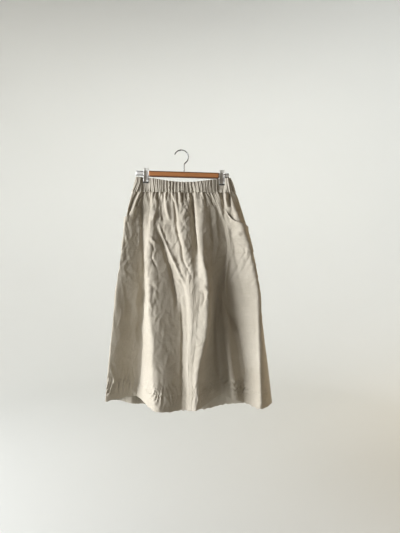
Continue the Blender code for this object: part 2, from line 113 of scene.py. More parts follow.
LEVELS = (0.0, 0.09, 0.265, 0.4525, 0.64, 0.815, 1.0)
CASING_LEVELS = (0.0, 0.42, 1.0)
FRONT_FOLDS = (
    Fold("left side seam", 0.000, (-167, 3), (-179, 4), (-195, 6), (-212, 7),
         (-225, 7), (-234, 6), (-247, 5), -848),
    Fold("left flap ridge", 0.030, (-162, -11), (-180, -17), (-198, -21), (-216, -23),
         (-229, -25), (-240, -27), (-252, -28), -845),
    Fold("left deep valley", 0.139, (-120, -4), (-131, -2), (-133, 4), (-131, 10),
         (-140, 14), (-148, 18), (-160, 22), -842),
    Fold("left bulge ridge", 0.227, (-89, -8), (-102, -13), (-108, -22), (-104, -38),
         (-96, -56), (-89, -72), (-81, -84), -858),
    Fold("slanting valley", 0.320, (-55, -10), (-69, -8), (-57, -12), (-18, -19),
         (3, -29), (2, -42), (4, -53), -865),
    Fold("middle slope", 0.448, (-11, -12), (6, -16), (20, -28), (30, -44),
         (29, -56), (24, -66), (24, -74), -858),
    Fold("middle cleft", 0.585, (38, -5), (44, -6), (51, -20), (60, -46),
         (53, -62), (40, -74), (37, -82), -855),
    Fold("middle ridge", 0.637, (56, -12), (68, -24), (74, -40), (88, -56),
         (85, -70), (64, -80), (57, -86), -852),
    Fold("right deep valley", 0.722, (87, -10), (120, -6), (147, 0), (126, 4),
         (121, 8), (125, 14), (135, 22), -838),
    Fold("right low ridge", 0.782, (107, -9), (134, -8), (160, -4), (148, -4),
         (154, -10), (164, -15), (177, -18), -841),
    Fold("right slanting valley", 0.858, (134, -4), (148, -8), (175, -8), (169, 0),
         (187, 2), (211, -2), (222, -4), -859),
    Fold("right panel ridge", 0.925, (160, -11), (185, -18), (224, -29), (249, -40),
         (258, -52), (259, -64), (259, -71), -854),
    Fold("right side seam", 1.000, (184, 2), (206, 2), (240, -1), (258, -4),
         (273, -8), (290, -12), (305, -14), -850),
)
BACK_FOLDS = (
    Fold("back edge ridge, left", 0.035, (-160, 9), (-173, 11), (-191, 15), (-206, 20),
         (-218, 25), (-229, 29), (-240, 32), -857),
    Fold("back ridge 1", 0.120, (-122, 4), (-144, 13), (-164, 22), (-180, 31),
         (-193, 38), (-205, 44), (-217, 49), -864),
    Fold("back valley 1", 0.220, (-88, 8), (-103, 10), (-118, 17), (-134, 25),
         (-150, 31), (-164, 36), (-176, 40), -872),
    Fold("back ridge 2", 0.340, (-48, 11), (-60, 19), (-72, 29), (-86, 38),
         (-100, 46), (-114, 52), (-126, 57), -880),
    Fold("back valley 2", 0.460, (-8, 11), (-14, 13), (-24, 18), (-36, 24),
         (-48, 29), (-59, 33), (-68, 36), -886),
    Fold("back ridge 3", 0.570, (32, 12), (30, 20), (25, 29), (17, 38),
         (9, 46), (1, 52), (-6, 57), -889),
    Fold("back valley 3", 0.680, (72, 10), (74, 13), (76, 18), (75, 24),
         (73, 29), (70, 33), (66, 37), -892),
    Fold("back ridge 4", 0.780, (107, 8), (120, 18), (131, 27), (137, 36),
         (141, 44), (143, 51), (145, 56), -881),
    Fold("back valley 4", 0.870, (136, 4), (160, 11), (182, 16), (197, 22),
         (208, 27), (216, 32), (224, 37), -868),
    Fold("back edge ridge, right", 0.965, (174, 11), (195, 12), (224, 15), (239, 20),
         (252, 25), (264, 29), (276, 31), -857),
)
FRONT_CASING = (
    Casing(0.000, (-154, 0), (-160, 1), -90, -141),
    Casing(0.030, (-147, -6), (-151, -6), -91, -141),
    Casing(0.139, (-120, -1.4), (-120, -1.4), -93, -141),
    Casing(0.227, (-93, -6), (-91, -7), -96, -142),
    Casing(0.320, (-56, -9), (-56, -10), -103, -142),
    Casing(0.448, (-11, -10), (-11, -11), -108, -143),
    Casing(0.585, (33, -10), (35, -8), -109, -143),
    Casing(0.637, (50, -10), (53, -11), -107.5, -143),
    Casing(0.722, (83, -9), (85, -10), -103.5, -143),
    Casing(0.782, (106, -6), (106, -7), -100, -143),
    Casing(0.858, (137, -1.4), (137, -1.4), -96, -143),
    Casing(0.925, (154, -8), (156, -9), -95, -143),
    Casing(1.000, (167, 0), (175, 1), -94, -143),
)
BACK_CASING = (
    Casing(0.035, (-149, 7), (-153, 8), -91, -141),
    Casing(0.120, (-120, 1.4), (-120, 1.4), -93, -141),
    Casing(0.220, (-88, 7), (-88, 7), -96, -142),
    Casing(0.340, (-48, 10), (-48, 10), -103, -143),
    Casing(0.460, (-8, 10.5), (-8, 11), -107, -143),
    Casing(0.570, (32, 10.5), (32, 11), -108, -143),
    Casing(0.680, (71, 9.5), (72, 10), -105, -143),
    Casing(0.780, (106, 6), (106, 7), -100, -143),
    Casing(0.870, (137, 1.4), (137, 1.4), -96, -143),
    Casing(0.965, (160, 7), (165, 9), -95, -143),
)


class Crease(NamedTuple):
    """A trough (negative depth) or ridge laid along points (x, z) of one half."""

    side: Side
    depth: float
    width: float
    low: float
    high: float
    path: tuple[Pair, ...]


F, B = Side.FRONT, Side.BACK
CREASES = (
    # the deep cleft in the middle and the bright edge beside it
    Crease(F, -12.0, 4.2, 0.50, 0.68, ((31, -136), (37, -160), (40, -200), (45, -250), (50, -310),
                                       (54, -370))),
    Crease(F, 5.0, 6.5, 0.55, 0.70, ((50, -146), (54, -200), (58, -260), (62, -320), (66, -372))),
    # the long slanting creases left of the middle
    Crease(F, -6.5, 4.6, 0.24, 0.56, ((-43, -133), (-23, -181), (-19, -218), (-16, -265),
                                      (-10, -295), (1, -325), (5, -372), (39, -435))),
    Crease(F, 3.0, 9.0, 0.30, 0.60, ((-28, -150), (-8, -200), (-2, -262), (10, -318), (26, -385))),
    Crease(F, 6.5, 5.2, 0.20, 0.50, ((-83, -235), (-66, -285), (-41, -342), (-7, -409), (19, -469))),
    Crease(F, -8.0, 6.0, 0.20, 0.45, ((-81, -255), (-58, -334), (-36, -406), (-18, -490), (-11, -540))),
    Crease(F, -4.2, 3.6, 0.45, 0.60, ((28, -217), (16, -231), (6, -249))),
    Crease(F, -2.5, 4.0, 0.35, 0.55, ((-3, -177), (-5, -194), (-7, -209))),
    Crease(F, 2.5, 6.0, 0.42, 0.58, ((20, -160), (18, -195), (8, -222), (-2, -246))),
    # between the left bulge and the waist
    Crease(F, 5.0, 5.6, 0.16, 0.34, ((-88, -158), (-81, -180), (-82, -200), (-92, -222), (-101, -244))),
    Crease(F, 4.6, 6.0, 0.24, 0.40, ((-53, -131), (-56, -166), (-52, -193), (-45, -215), (-36, -246))),
    Crease(F, -4.6, 4.4, 0.20, 0.36, ((-72, -148), (-68, -180), (-68, -214), (-60, -246))),
    Crease(F, -2.6, 5.0, 0.12, 0.26, ((-108, -150), (-104, -186), (-112, -224), (-116, -262))),
    Crease(F, 2.4, 5.0, 0.12, 0.24, ((-118, -150), (-113, -190), (-118, -232))),
    # folds that run out from the left clip
    Crease(F, -6.5, 4.2, 0.01, 0.14, ((-144, -135), (-160, -166), (-170, -194), (-175, -221))),
    Crease(F, -6.5, 4.4, 0.02, 0.15, ((-135, -146), (-145, -174), (-153, -201))),
    Crease(F, 4.4, 4.6, 0.01, 0.14, ((-139, -140), (-151, -172), (-161, -204), (-166, -232))),
    # the left deep valley and the light strip beside it
    Crease(F, -5.5, 4.0, 0.08, 0.20, ((-132, -152), (-134, -303), (-131, -355), (-130, -440))),
    Crease(F, -4.5, 3.4, 0.08, 0.21, ((-128, -420), (-129, -468), (-134, -509), (-135, -560),
                                      (-141, -611), (-138, -663), (-143, -718), (-147, -766),
                                      (-157, -817), (-160, -900))),
    Crease(F, -6.5, 10.0, 0.08, 0.21, ((-131, -390), (-131, -468), (-137, -509), (-138, -560),
                                       (-144, -611), (-141, -663), (-146, -718), (-150, -766),
                                       (-160, -817), (-164, -900))),
    Crease(F, 3.4, 5.0, 0.12, 0.26, ((-122, -290), (-119, -380), (-119, -468), (-125, -540),
                                     (-131, -611), (-129, -663), (-134, -718), (-138, -766),
                                     (-148, -830))),
    Crease(F, 1.5, 6.0, 0.17, 0.34, ((-112, -435), (-103, -493), (-109, -539), (-96, -598),
                                     (-88, -633), (-91, -715), (-88, -770), (-77, -829))),
    Crease(F, -2.0, 5.0, 0.17, 0.30, ((-96, -440), (-92, -486), (-97, -530))),
    Crease(F, -3.4, 3.6, 0.16, 0.30, ((-114, -379), (-98, -365), (-81, -399))),
    Crease(F, 3.0, 3.6, 0.16, 0.30, ((-108, -292), (-84, -318))),
    Crease(F, -3.0, 3.6, 0.16, 0.30, ((-110, -306), (-96, -322), (-90, -346))),
    Crease(F, -2.0, 4.5, 0.16, 0.30, ((-108, -452), (-88, -462), (-72, -486))),
    Crease(F, 1.8, 4.5, 0.16, 0.30, ((-112, -500), (-98, -520), (-94, -552))),
    Crease(F, -0.8, 5.0, 0.16, 0.30, ((-118, -600), (-104, -628), (-100, -668))),
    Crease(F, 1.8, 5.0, 0.02, 0.12, ((-205, -430), (-196, -470), (-190, -520), (-194, -572))),
    Crease(F, -1.6, 5.0, 0.02, 0.12, ((-190, -300), (-184, -352), (-176, -402))),
    Crease(F, -2.6, 3.5, 0.00, 0.10, ((-232, -715), (-226, -738), (-220, -762))),
    Crease(F, 2.2, 3.0, 0.00, 0.10, ((-236, -735), (-230, -760), (-228, -788))),
    # the middle bulge
    Crease(F, 3.6, 4.6, 0.58, 0.72, ((63, -471), (79, -461), (89, -478), (83, -504))),
    Crease(F, -3.4, 4.2, 0.58, 0.72, ((60, -486), (72, -476), (76, -500), (68, -528))),
    Crease(F, 2.6, 7.0, 0.58, 0.72, ((69, -226), (73, -373), (95, -480), (95, -516), (91, -568),
                                     (81, -650), (62, -705), (46, -747))),
    Crease(F, -1.3, 7.0, 0.34, 0.52, ((24, -500), (27, -560), (24, -650), (26, -740), (30, -830))),
    Crease(F, -2.6, 6.0, 0.62, 0.74, ((96, -170), (102, -240), (108, -320), (104, -400))),
    Crease(F, 1.8, 5.0, 0.64, 0.76, ((112, -176), (118, -250), (126, -330))),
    # the right deep valley and the flat panel
    Crease(F, -2.6, 7.0, 0.68, 0.78, ((118, -509), (118, -611), (121, -714), (128, -816))),
    Crease(F, 6.0, 9.0, 0.72, 0.88, ((122, -430), (134, -480), (142, -540), (150, -610),
                                     (160, -690), (172, -770), (182, -836))),
    Crease(F, -5.5, 5.4, 0.76, 0.90, ((113, -443), (134, -474), (145, -496), (151, -528),
                                      (162, -552), (184, -593), (197, -627), (205, -678),
                                      (212, -719), (220, -777), (226, -826))),
    Crease(F, 3.2, 4.5, 0.88, 0.97, ((253, -503), (254, -561), (255, -632), (258, -762), (260, -855))),
    Crease(F, 2.6, 7.0, 0.80, 0.92, ((152, -190), (158, -250), (168, -330), (184, -420))),
    Crease(F, -2.0, 6.0, 0.80, 0.94, ((176, -300), (184, -370), (196, -440), (214, -510))),
    Crease(F, -5.0, 3.6, 0.88, 0.98, ((169, -126), (166, -153), (160, -169), (166, -193))),
    Crease(F, 4.0, 3.8, 0.86, 0.98, ((158, -140), (152, -168), (156, -196))),
    # the line of the slanting valley down to the hem
    Crease(F, -4.6, 4.5, 0.30, 0.44, ((-6, -486), (1, -540), (5, -620), (3, -700),
                                      (3, -780), (4, -862))),
    Crease(F, 2.6, 9.0, 0.32, 0.48, ((12, -520), (18, -600), (18, -690), (18, -790))),
    # puckers at the bottoms and edges of the pockets
    Crease(F, 2.2, 3.4, 0.82, 0.99, ((196, -384), (212, -364), (226, -336))),
    Crease(F, -2.4, 3.2, 0.82, 0.99, ((188, -386), (204, -366), (220, -338))),
    Crease(F, 2.0, 3.2, 0.82, 0.99, ((178, -398), (196, -374), (212, -346))),
    Crease(F, -2.2, 3.4, 0.80, 0.98, ((170, -432), (182, -408), (196, -386))),
    Crease(F, 2.2, 3.6, 0.80, 0.98, ((180, -440), (192, -414), (206, -390))),
    Crease(F, -2.0, 3.4, 0.82, 0.99, ((206, -398), (220, -378), (232, -352))),
    Crease(F, 1.8, 4.0, 0.82, 0.98, ((166, -300), (182, -286), (204, -282))),
    Crease(F, -1.8, 4.0, 0.82, 0.98, ((170, -316), (188, -300), (214, -300))),
    Crease(F, -2.0, 3.4, 0.02, 0.15, ((-202, -392), (-192, -376), (-180, -358))),
    Crease(F, 2.0, 3.4, 0.02, 0.15, ((-194, -398), (-184, -380), (-172, -364))),
    Crease(F, -1.8, 3.4, 0.02, 0.15, ((-184, -404), (-176, -388), (-164, -374))),
    Crease(F, 1.8, 3.8, 0.02, 0.14, ((-196, -262), (-186, -282), (-182, -310))),
    Crease(F, -1.8, 3.8, 0.02, 0.14, ((-188, -240), (-178, -262), (-172, -296))),
    # the back, unseen in the photo, creased in the same way
    Crease(B, -4.5, 5.0, 1.30, 1.50, ((52, -142), (48, -210), (56, -290), (70, -360))),
    Crease(B, 3.0, 6.5, 1.26, 1.46, ((64, -150), (62, -222), (72, -300), (92, -378))),
    Crease(B, -5.0, 6.0, 1.50, 1.74, ((-30, -145), (-24, -220), (-40, -300), (-66, -396), (-78, -460))),
    Crease(B, 3.4, 7.0, 1.46, 1.72, ((-14, -150), (-8, -232), (-24, -320), (-48, -410), (-58, -500))),
    Crease(B, -3.0, 4.5, 1.58, 1.72, ((-72, -170), (-62, -196), (-66, -228))),
    Crease(B, 2.8, 6.0, 1.70, 1.88, ((-102, -156), (-110, -214), (-122, -290), (-126, -372))),
    Crease(B, -3.2, 6.0, 1.74, 1.92, ((-118, -150), (-130, -232), (-146, -330), (-150, -430))),
    Crease(B, -3.6, 6.5, 1.12, 1.26, ((148, -152), (166, -240), (178, -336), (176, -446))),
    Crease(B, 2.6, 6.0, 1.06, 1.22, ((170, -150), (186, -226), (206, -330), (214, -420))),
    Crease(B, -2.2, 5.0, 1.34, 1.46, ((24, -420), (34, -452), (30, -500), (18, -548))),
    Crease(B, 2.2, 5.5, 1.16, 1.30, ((128, -470), (138, -540), (132, -620), (140, -716))),
    Crease(B, -2.8, 7.0, 1.28, 1.40, ((86, -520), (78, -640), (72, -760), (68, -868))),
    Crease(B, 2.4, 6.0, 1.60, 1.76, ((-96, -520), (-104, -600), (-112, -700), (-118, -800))),
    Crease(B, -2.0, 5.0, 1.80, 1.92, ((-176, -480), (-184, -560), (-182, -640), (-196, -730))),
    Crease(B, 1.8, 5.0, 1.48, 1.60, ((-44, -600), (-52, -660), (-60, -760))),
)


class Wedge(NamedTuple):
    """A short fold that opens at the waist seam: its x, height, width, length and lean."""

    side: Side
    x: float
    height: float
    width: float
    length: float
    lean: float


WEDGES = (
    Wedge(F, -150, -2.6, 3.6, 46, -0.30), Wedge(F, -138, 2.4, 4.2, 52, -0.28),
    Wedge(F, -126, -3.0, 3.6, 40, -0.20), Wedge(F, -111, -3.4, 3.4, 48, -0.06),
    Wedge(F, -97, 3.4, 5.0, 56, -0.04), Wedge(F, -80, -8.0, 3.6, 66, 0.03),
    Wedge(F, -70, 2.4, 4.2, 40, 0.05), Wedge(F, -61, -4.6, 3.4, 50, 0.08),
    Wedge(F, -52, 2.6, 4.4, 52, 0.04), Wedge(F, -33, 2.6, 4.6, 40, 0.16),
    Wedge(F, -15, -7.0, 3.4, 64, 0.10), Wedge(F, -5, 2.6, 4.4, 44, 0.06),
    Wedge(F, 6, -6.0, 3.4, 44, 0.00), Wedge(F, 19, -3.6, 3.2, 34, -0.10),
    Wedge(F, 27, 2.6, 4.0, 62, 0.00), Wedge(F, 34, -5.0, 4.6, 60, 0.08),
    Wedge(F, 48, 4.0, 5.4, 84, 0.05), Wedge(F, 60, -2.8, 3.4, 42, 0.08),
    Wedge(F, 79, -3.2, 3.6, 60, 0.16), Wedge(F, 70, 2.2, 4.4, 52, 0.10),
    Wedge(F, 97, -2.8, 3.6, 48, 0.24), Wedge(F, 109, -2.6, 3.4, 40, 0.28),
    Wedge(F, 122, 2.8, 5.0, 60, 0.26), Wedge(F, 137, -9.0, 4.0, 70, 0.12),
    Wedge(F, 147, 5.0, 4.4, 60, 0.14), Wedge(F, 159, -7.5, 3.6, 60, 0.18),
    Wedge(F, 170, -3.6, 3.4, 40, 0.22),
    Wedge(B, 158, -3.2, 3.8, 52, 0.24), Wedge(B, 144, 2.8, 5.0, 60, 0.20),
    Wedge(B, 128, -3.8, 3.6, 64, 0.16), Wedge(B, 108, -2.8, 3.4, 44, 0.12),
    Wedge(B, 97, 3.0, 4.8, 50, 0.10), Wedge(B, 84, -3.6, 3.4, 74, 0.06),
    Wedge(B, 62, -2.8, 3.6, 40, 0.03), Wedge(B, 50, 3.2, 5.0, 66, 0.00),
    Wedge(B, 36, -4.2, 3.6, 58, -0.02), Wedge(B, 20, -2.6, 3.2, 36, 0.00),
    Wedge(B, 6, 2.8, 4.6, 54, -0.04), Wedge(B, -8, -3.8, 3.6, 66, -0.08),
    Wedge(B, -28, -2.8, 3.4, 40, -0.06), Wedge(B, -42, 3.0, 5.0, 62, -0.10),
    Wedge(B, -58, -4.0, 3.6, 56, -0.12), Wedge(B, -78, -2.6, 3.4, 42, -0.14),
    Wedge(B, -92, 3.0, 4.8, 54, -0.18), Wedge(B, -106, -3.4, 3.6, 62, -0.20),
    Wedge(B, -128, -3.0, 3.6, 46, -0.26), Wedge(B, -142, 2.6, 4.6, 48, -0.30),
)


class PuckerPatch(NamedTuple):
    """Where the hem's sewing pulls the cloth most: loop place, reach and strength."""

    centre: float
    reach: float
    strength: float


PUCKER_PATCHES = (
    PuckerPatch(0.045, 0.035, 1.5), PuckerPatch(0.10, 0.030, 1.2), PuckerPatch(0.21, 0.035, 1.7),
    PuckerPatch(0.27, 0.03, 0.9), PuckerPatch(0.57, 0.03, 1.2), PuckerPatch(0.67, 0.03, 1.9),
    PuckerPatch(0.82, 0.035, 2.1),
    PuckerPatch(0.88, 0.02, 1.0), PuckerPatch(1.10, 0.06, 0.6), PuckerPatch(1.28, 0.08, 0.5),
    PuckerPatch(1.52, 0.07, 0.6), PuckerPatch(1.75, 0.08, 0.5), PuckerPatch(1.91, 0.05, 0.6),
)


# Small shared maths

def bell(value: Array, width: Array | float) -> Array:
    """Return 1 in the middle, falling to 0 a few widths away."""
    return np.exp(-(value / width) ** 2)


def plateau(value: Array, low: float, high: float, edge: float) -> Array:
    """Return 1 between two places, eased to 0 at each of them over an edge."""
    return smooth((value - low) / edge) * smooth((high - value) / edge)


def ring_faces(rings: int, count: int) -> list[tuple[int, ...]]:
    """Join rings of corners, each of the same count, with quads."""
    faces = []
    for ring in range(rings - 1):
        for k in range(count):
            a, b = ring * count + k, ring * count + (k + 1) % count
            faces.append((a, b, b + count, a + count))
    return faces


def tinted(colour: Colour, share: float) -> Colour:
    """Return a colour times a share, held at white."""
    return tuple(min(1.0, share * value) for value in colour)


def smooth(value: Array) -> Array:
    """Ease a value from 0 to 1."""
    held = np.clip(value, 0.0, 1.0)
    return held * held * (3.0 - 2.0 * held)


def spline(knots: Array, values: Array, t: Array, period: float | None = None) -> Array:
    """Run a smooth curve through values at uneven knots.

    Args:
        knots: the knots, rising, of length n.
        values: an array whose last two axes are (n, k).
        t: the places to read.
        period: the loop's length, or None for an open curve.

    Returns:
        An array whose last two axes are (len(t), k).
    """
    if period is None:
        line = np.concatenate((knots[:1], knots, knots[-1:]))
        held = np.concatenate((values[..., :1, :], values, values[..., -1:, :]), axis=-2)
        t = np.clip(t, knots[0], knots[-1])
        i = np.clip(np.searchsorted(knots, t, side="right") - 1, 0, len(knots) - 2) + 1
    else:
        line = np.concatenate((knots[-1:] - period, knots, knots[:2] + period))
        held = np.concatenate((values[..., -1:, :], values, values[..., :2, :]), axis=-2)
        t = np.mod(t, period)
        i = np.searchsorted(knots, t, side="right")
    k0, k1, k2, k3 = (line[i + step][:, None] for step in (-1, 0, 1, 2))
    v0, v1, v2, v3 = (held[..., i + step, :] for step in (-1, 0, 1, 2))
    span = k2 - k1
    s = (t[:, None] - k1) / span
    start = (v2 - v0) / (k2 - k0) * span
    end = (v3 - v1) / (k3 - k1) * span
    return ((2 * s**3 - 3 * s**2 + 1) * v1 + (s**3 - 2 * s**2 + s) * start
            + (3 * s**2 - 2 * s**3) * v2 + (s**3 - s**2) * end)


def drift(u: Array, v: Array, seed: int) -> Array:
    """Smooth uneven waves over a plane, the same on every run.

    Args:
        u: first coordinate, one unit to a wave.
        v: second coordinate, one unit to a wave.
        seed: which pattern to use.

    Returns:
        Numbers from -1 to 1.
    """
    table = np.random.default_rng(seed).uniform(-1.0, 1.0, (64, 64))
    iu, iv = np.floor(u).astype(int), np.floor(v).astype(int)
    fu, fv = u - iu, v - iv
    su = fu**3 * (fu * (6 * fu - 15) + 10)
    sv = fv**3 * (fv * (6 * fv - 15) + 10)

    def corner(du: int, dv: int) -> Array:
        """Return the lattice value at one corner of each cell."""
        return table[(iu + du) % 64, (iv + dv) % 64]

    low = corner(0, 0) * (1 - su) + corner(1, 0) * su
    high = corner(0, 1) * (1 - su) + corner(1, 1) * su
    return low * (1 - sv) + high * sv


def distance_to_path(x: Array, z: Array, path: tuple[Pair, ...]) -> tuple[Array, Array]:
    """Measure from points to a broken line.

    Args:
        x: the points' x.
        z: the points' z.
        path: the line's corners (x, z).

    Returns:
        The distance to the line, and the place along it from 0 to 1.
    """
    corners = np.array(path, dtype=float)
    steps = np.linalg.norm(np.diff(corners, axis=0), axis=1)
    reached = np.concatenate(([0.0], np.cumsum(steps)))
    best = np.full(x.shape, np.inf)
    along = np.zeros(x.shape)
    for i, step in enumerate(steps):
        run = (corners[i + 1] - corners[i]) / step
        s = np.clip((x - corners[i, 0]) * run[0] + (z - corners[i, 1]) * run[1], 0.0, step)
        away = np.hypot(x - corners[i, 0] - run[0] * s, z - corners[i, 1] - run[1] * s)
        nearer = away < best
        best = np.where(nearer, away, best)
        along = np.where(nearer, (reached[i] + s) / reached[-1], along)
    return best, along


def from_side_seam(t: Array) -> Array:
    """Return the loop distance from each place to the nearest side seam."""
    return np.abs(np.mod(t + 0.5, 1.0) - 0.5)


def grid_normals(points: Array) -> Array:
    """Find the outward unit normals of a grid of points."""
    across = np.gradient(points, axis=1)
    down = np.gradient(points, axis=0)
    normals = np.cross(down, across)
    return normals / np.maximum(np.linalg.norm(normals, axis=2, keepdims=True), 1e-9)


def eased(normals: Array, rounds: int) -> Array:
    """Even out a grid of unit normals with their neighbours, a few rounds over."""
    for _ in range(rounds):
        for axis in (0, 1):
            wide = np.pad(normals, [(int(axis == k),) * 2 for k in range(3)], mode="edge")
            count = normals.shape[axis]
            first = np.take(wide, range(count), axis)
            last = np.take(wide, range(2, count + 2), axis)
            normals = (first + 2.0 * normals + last) / 4.0
    return normals / np.linalg.norm(normals, axis=2, keepdims=True)


# The cloth's form

@dataclass(frozen=True)
class Gathers:
    """The small even waves that the elastic makes."""

    count: float = 30.0
    depth: float = 1.7
    end_reach: float = 0.025

    def wave(self, t: Array) -> Array:
        """Return how far each loop place stands out, in millimetres."""
        phase = self.count * t + 0.35 * np.sin(5.3 * np.pi * t + 0.7)
        swell = 1.0 + 0.25 * np.sin(11.0 * np.pi * t + 1.9)
        calm = 1.0 - bell(from_side_seam(t), self.end_reach)
        puff = 2.0 * np.abs(np.cos(np.pi * phase)) ** 0.75 - 1.0
        return self.depth * calm * swell * puff


@dataclass(frozen=True)
class FallingFolds:
    """Soft uneven folds that grow out of the gathers and die away down the skirt."""

    count: float
    depth: float
    start: float
    peak: float
    end: float
    wander: float
    seed: int

    def height(self, t: Array, drop: Array) -> Array:
        """Return the folds' height over a grid of loop places and drops."""
        rise = smooth((drop - self.start) / (self.peak - self.start))
        fall = 1.0 - smooth((drop - self.peak) / (self.end - self.peak))
        phase = self.count * t + self.wander * drift(t * 7.0, drop * 3.0, self.seed)
        swell = 0.65 + 0.5 * drift(t * 11.0, drop * 2.2, self.seed + 1)
        return self.depth * rise * fall * swell * np.cos(2 * np.pi * phase)


FALLING_FOLDS = (
    FallingFolds(17.0, 1.6, -0.02, 0.05, 0.26, 1.1, 11),
    FallingFolds(9.0, 1.8, 0.02, 0.18, 0.62, 0.9, 23),
    FallingFolds(6.0, 1.6, 0.20, 0.55, 1.15, 0.9, 37),
)


@dataclass(frozen=True)
class Crumple:
    """The uneven surface of washed linen, in millimetres of height and wave size."""

    height_mm: float
    across_mm: float
    down_mm: float
    seed: int
    sharp: bool = False

    def height(self, across: Array, down: Array) -> Array:
        """Return the crumple's height at cut-cloth places in millimetres."""
        u, v = across / self.across_mm, down / self.down_mm
        bent = drift(u * 0.6, v * 0.6, self.seed + 40)
        wave = drift(u + 0.9 * bent, v - 0.7 * bent, self.seed)
        if self.sharp:
            wave = 1.4 * (1.0 - np.abs(wave) * 2.0) ** 2 * np.sign(0.5 - np.abs(wave)) - 0.5
        patch = 0.75 + 0.75 * drift(u * 0.23, v * 0.19, self.seed + 80)
        return self.height_mm * wave * patch


CRUMPLES = (
    Crumple(1.5, 44.0, 84.0, 5),
    Crumple(0.75, 34.0, 52.0, 6, True),
    Crumple(0.50, 17.0, 25.0, 7, True),
    Crumple(0.30, 8.0, 12.0, 8),
)


@dataclass(frozen=True)
class WashCreases:
    """Short uneven creases that the wash leaves, sown over one panel's cut cloth."""

    count: int
    seed: int
    heart: Pair
    spread: Pair
    height: Pair = (0.5, 1.7)
    width: Pair = (2.4, 4.6)
    length: Pair = (12.0, 44.0)
    upright: float = 0.55

    def height_at(self, t: Array, drop: Array, across: Array, down: Array) -> Array:
        """Return the creases' height over a grid.

        Args:
            t: the columns' loop places.
            drop: the rows' shares of the drop.
            across: each point's distance along its row, in millimetres.
            down: each point's distance down the cut, in millimetres.

        Returns:
            Heights, (rows, columns).
        """
        dice = np.random.default_rng(self.seed)
        total = np.zeros(across.shape)
        for _ in range(self.count):
            column = np.searchsorted(t, self.heart[0] + self.spread[0] * dice.uniform(-1, 1))
            row = np.searchsorted(drop, self.heart[1] + self.spread[1] * dice.uniform(-1, 1))
            row, column = min(row, len(drop) - 1), min(column, len(t) - 1)
            u, v = across - across[row, column], down - down[row, column]
            lean = self.upright * dice.normal()
            size = dice.uniform(*self.height) * dice.choice((-1.0, 1.0))
            width, length = dice.uniform(*self.width), dice.uniform(*self.length)
            bend = dice.uniform(-0.006, 0.006)
            near = (np.abs(u) < 2.2 * length) & (np.abs(v) < 2.2 * length)
            u, v = u[near], v[near]
            along = v * math.cos(lean) + u * math.sin(lean)
            side = u * math.cos(lean) - v * math.sin(lean) + bend * along**2
            total[near] += size * np.exp(-(side / width) ** 2 - (along / length) ** 2)
        return total


WASH_CREASES = {
    Side.FRONT: (
        WashCreases(300, 101, (0.50, 0.50), (0.50, 0.48), (0.4, 1.2), (2.8, 5.6)),
        WashCreases(60, 102, (0.08, 0.25), (0.08, 0.18), (0.5, 1.3), (2.8, 5.0), (10, 30)),
        WashCreases(70, 103, (0.90, 0.25), (0.08, 0.18), (0.5, 1.3), (2.8, 5.0), (10, 30), 0.9),
        WashCreases(60, 104, (0.215, 0.43), (0.05, 0.18), (0.7, 2.0), (3.2, 6.0), (12, 32)),
        WashCreases(60, 106, (0.45, 0.22), (0.14, 0.20), (0.8, 2.4), (2.6, 4.8), (14, 44)),
        WashCreases(50, 107, (0.62, 0.60), (0.10, 0.36), (0.5, 1.2), (3.2, 6.2), (12, 36), 0.8),
        WashCreases(130, 105, (0.50, 0.94), (0.50, 0.05), (0.7, 1.9), (2.0, 3.4), (9, 24), 0.35),
    ),
    Side.BACK: (
        WashCreases(300, 111, (1.50, 0.50), (0.50, 0.48), (0.5, 1.6), (2.8, 5.6)),
        WashCreases(110, 112, (1.50, 0.30), (0.45, 0.24), (0.7, 2.0), (2.4, 4.0), (12, 36)),
        WashCreases(120, 113, (1.50, 0.94), (0.50, 0.05), (0.7, 1.8), (2.0, 3.4), (9, 24), 0.35),
    ),
}


@dataclass
class ClothGrid:
    """A grid over one half of the tube, with its middle surface and normals."""

    t: Array
    drop: Array
    points: Array
    normals: Array

    def between(self, t: Array) -> "ClothGrid":
        """Return the same rows read at other loop places."""
        column = np.interp(t, self.t, np.arange(len(self.t)))
        left = np.minimum(column.astype(int), len(self.t) - 2)
        share = (column - left)[None, :, None]

        def read(values: Array) -> Array:
            """Blend the columns on each side of every place."""
            return values[:, left] * (1.0 - share) + values[:, left + 1] * share

        return ClothGrid(t, self.drop, read(self.points), read(eased(self.normals, 6)))

    def at(self, rows: Array) -> tuple[Array, Array]:
        """Read the surface at drops that differ from column to column.

        Args:
            rows: an array (rows, columns) of drops.

        Returns:
            Points and unit normals, each (rows, columns, 3).
        """
        points = np.empty((*rows.shape, 3))
        normals = np.empty_like(points)
        for i in range(rows.shape[1]):
            for k in range(3):
                points[:, i, k] = np.interp(rows[:, i], self.drop, self.points[:, i, k])
                normals[:, i, k] = np.interp(rows[:, i], self.drop, self.normals[:, i, k])
        return points, normals / np.linalg.norm(normals, axis=2, keepdims=True)


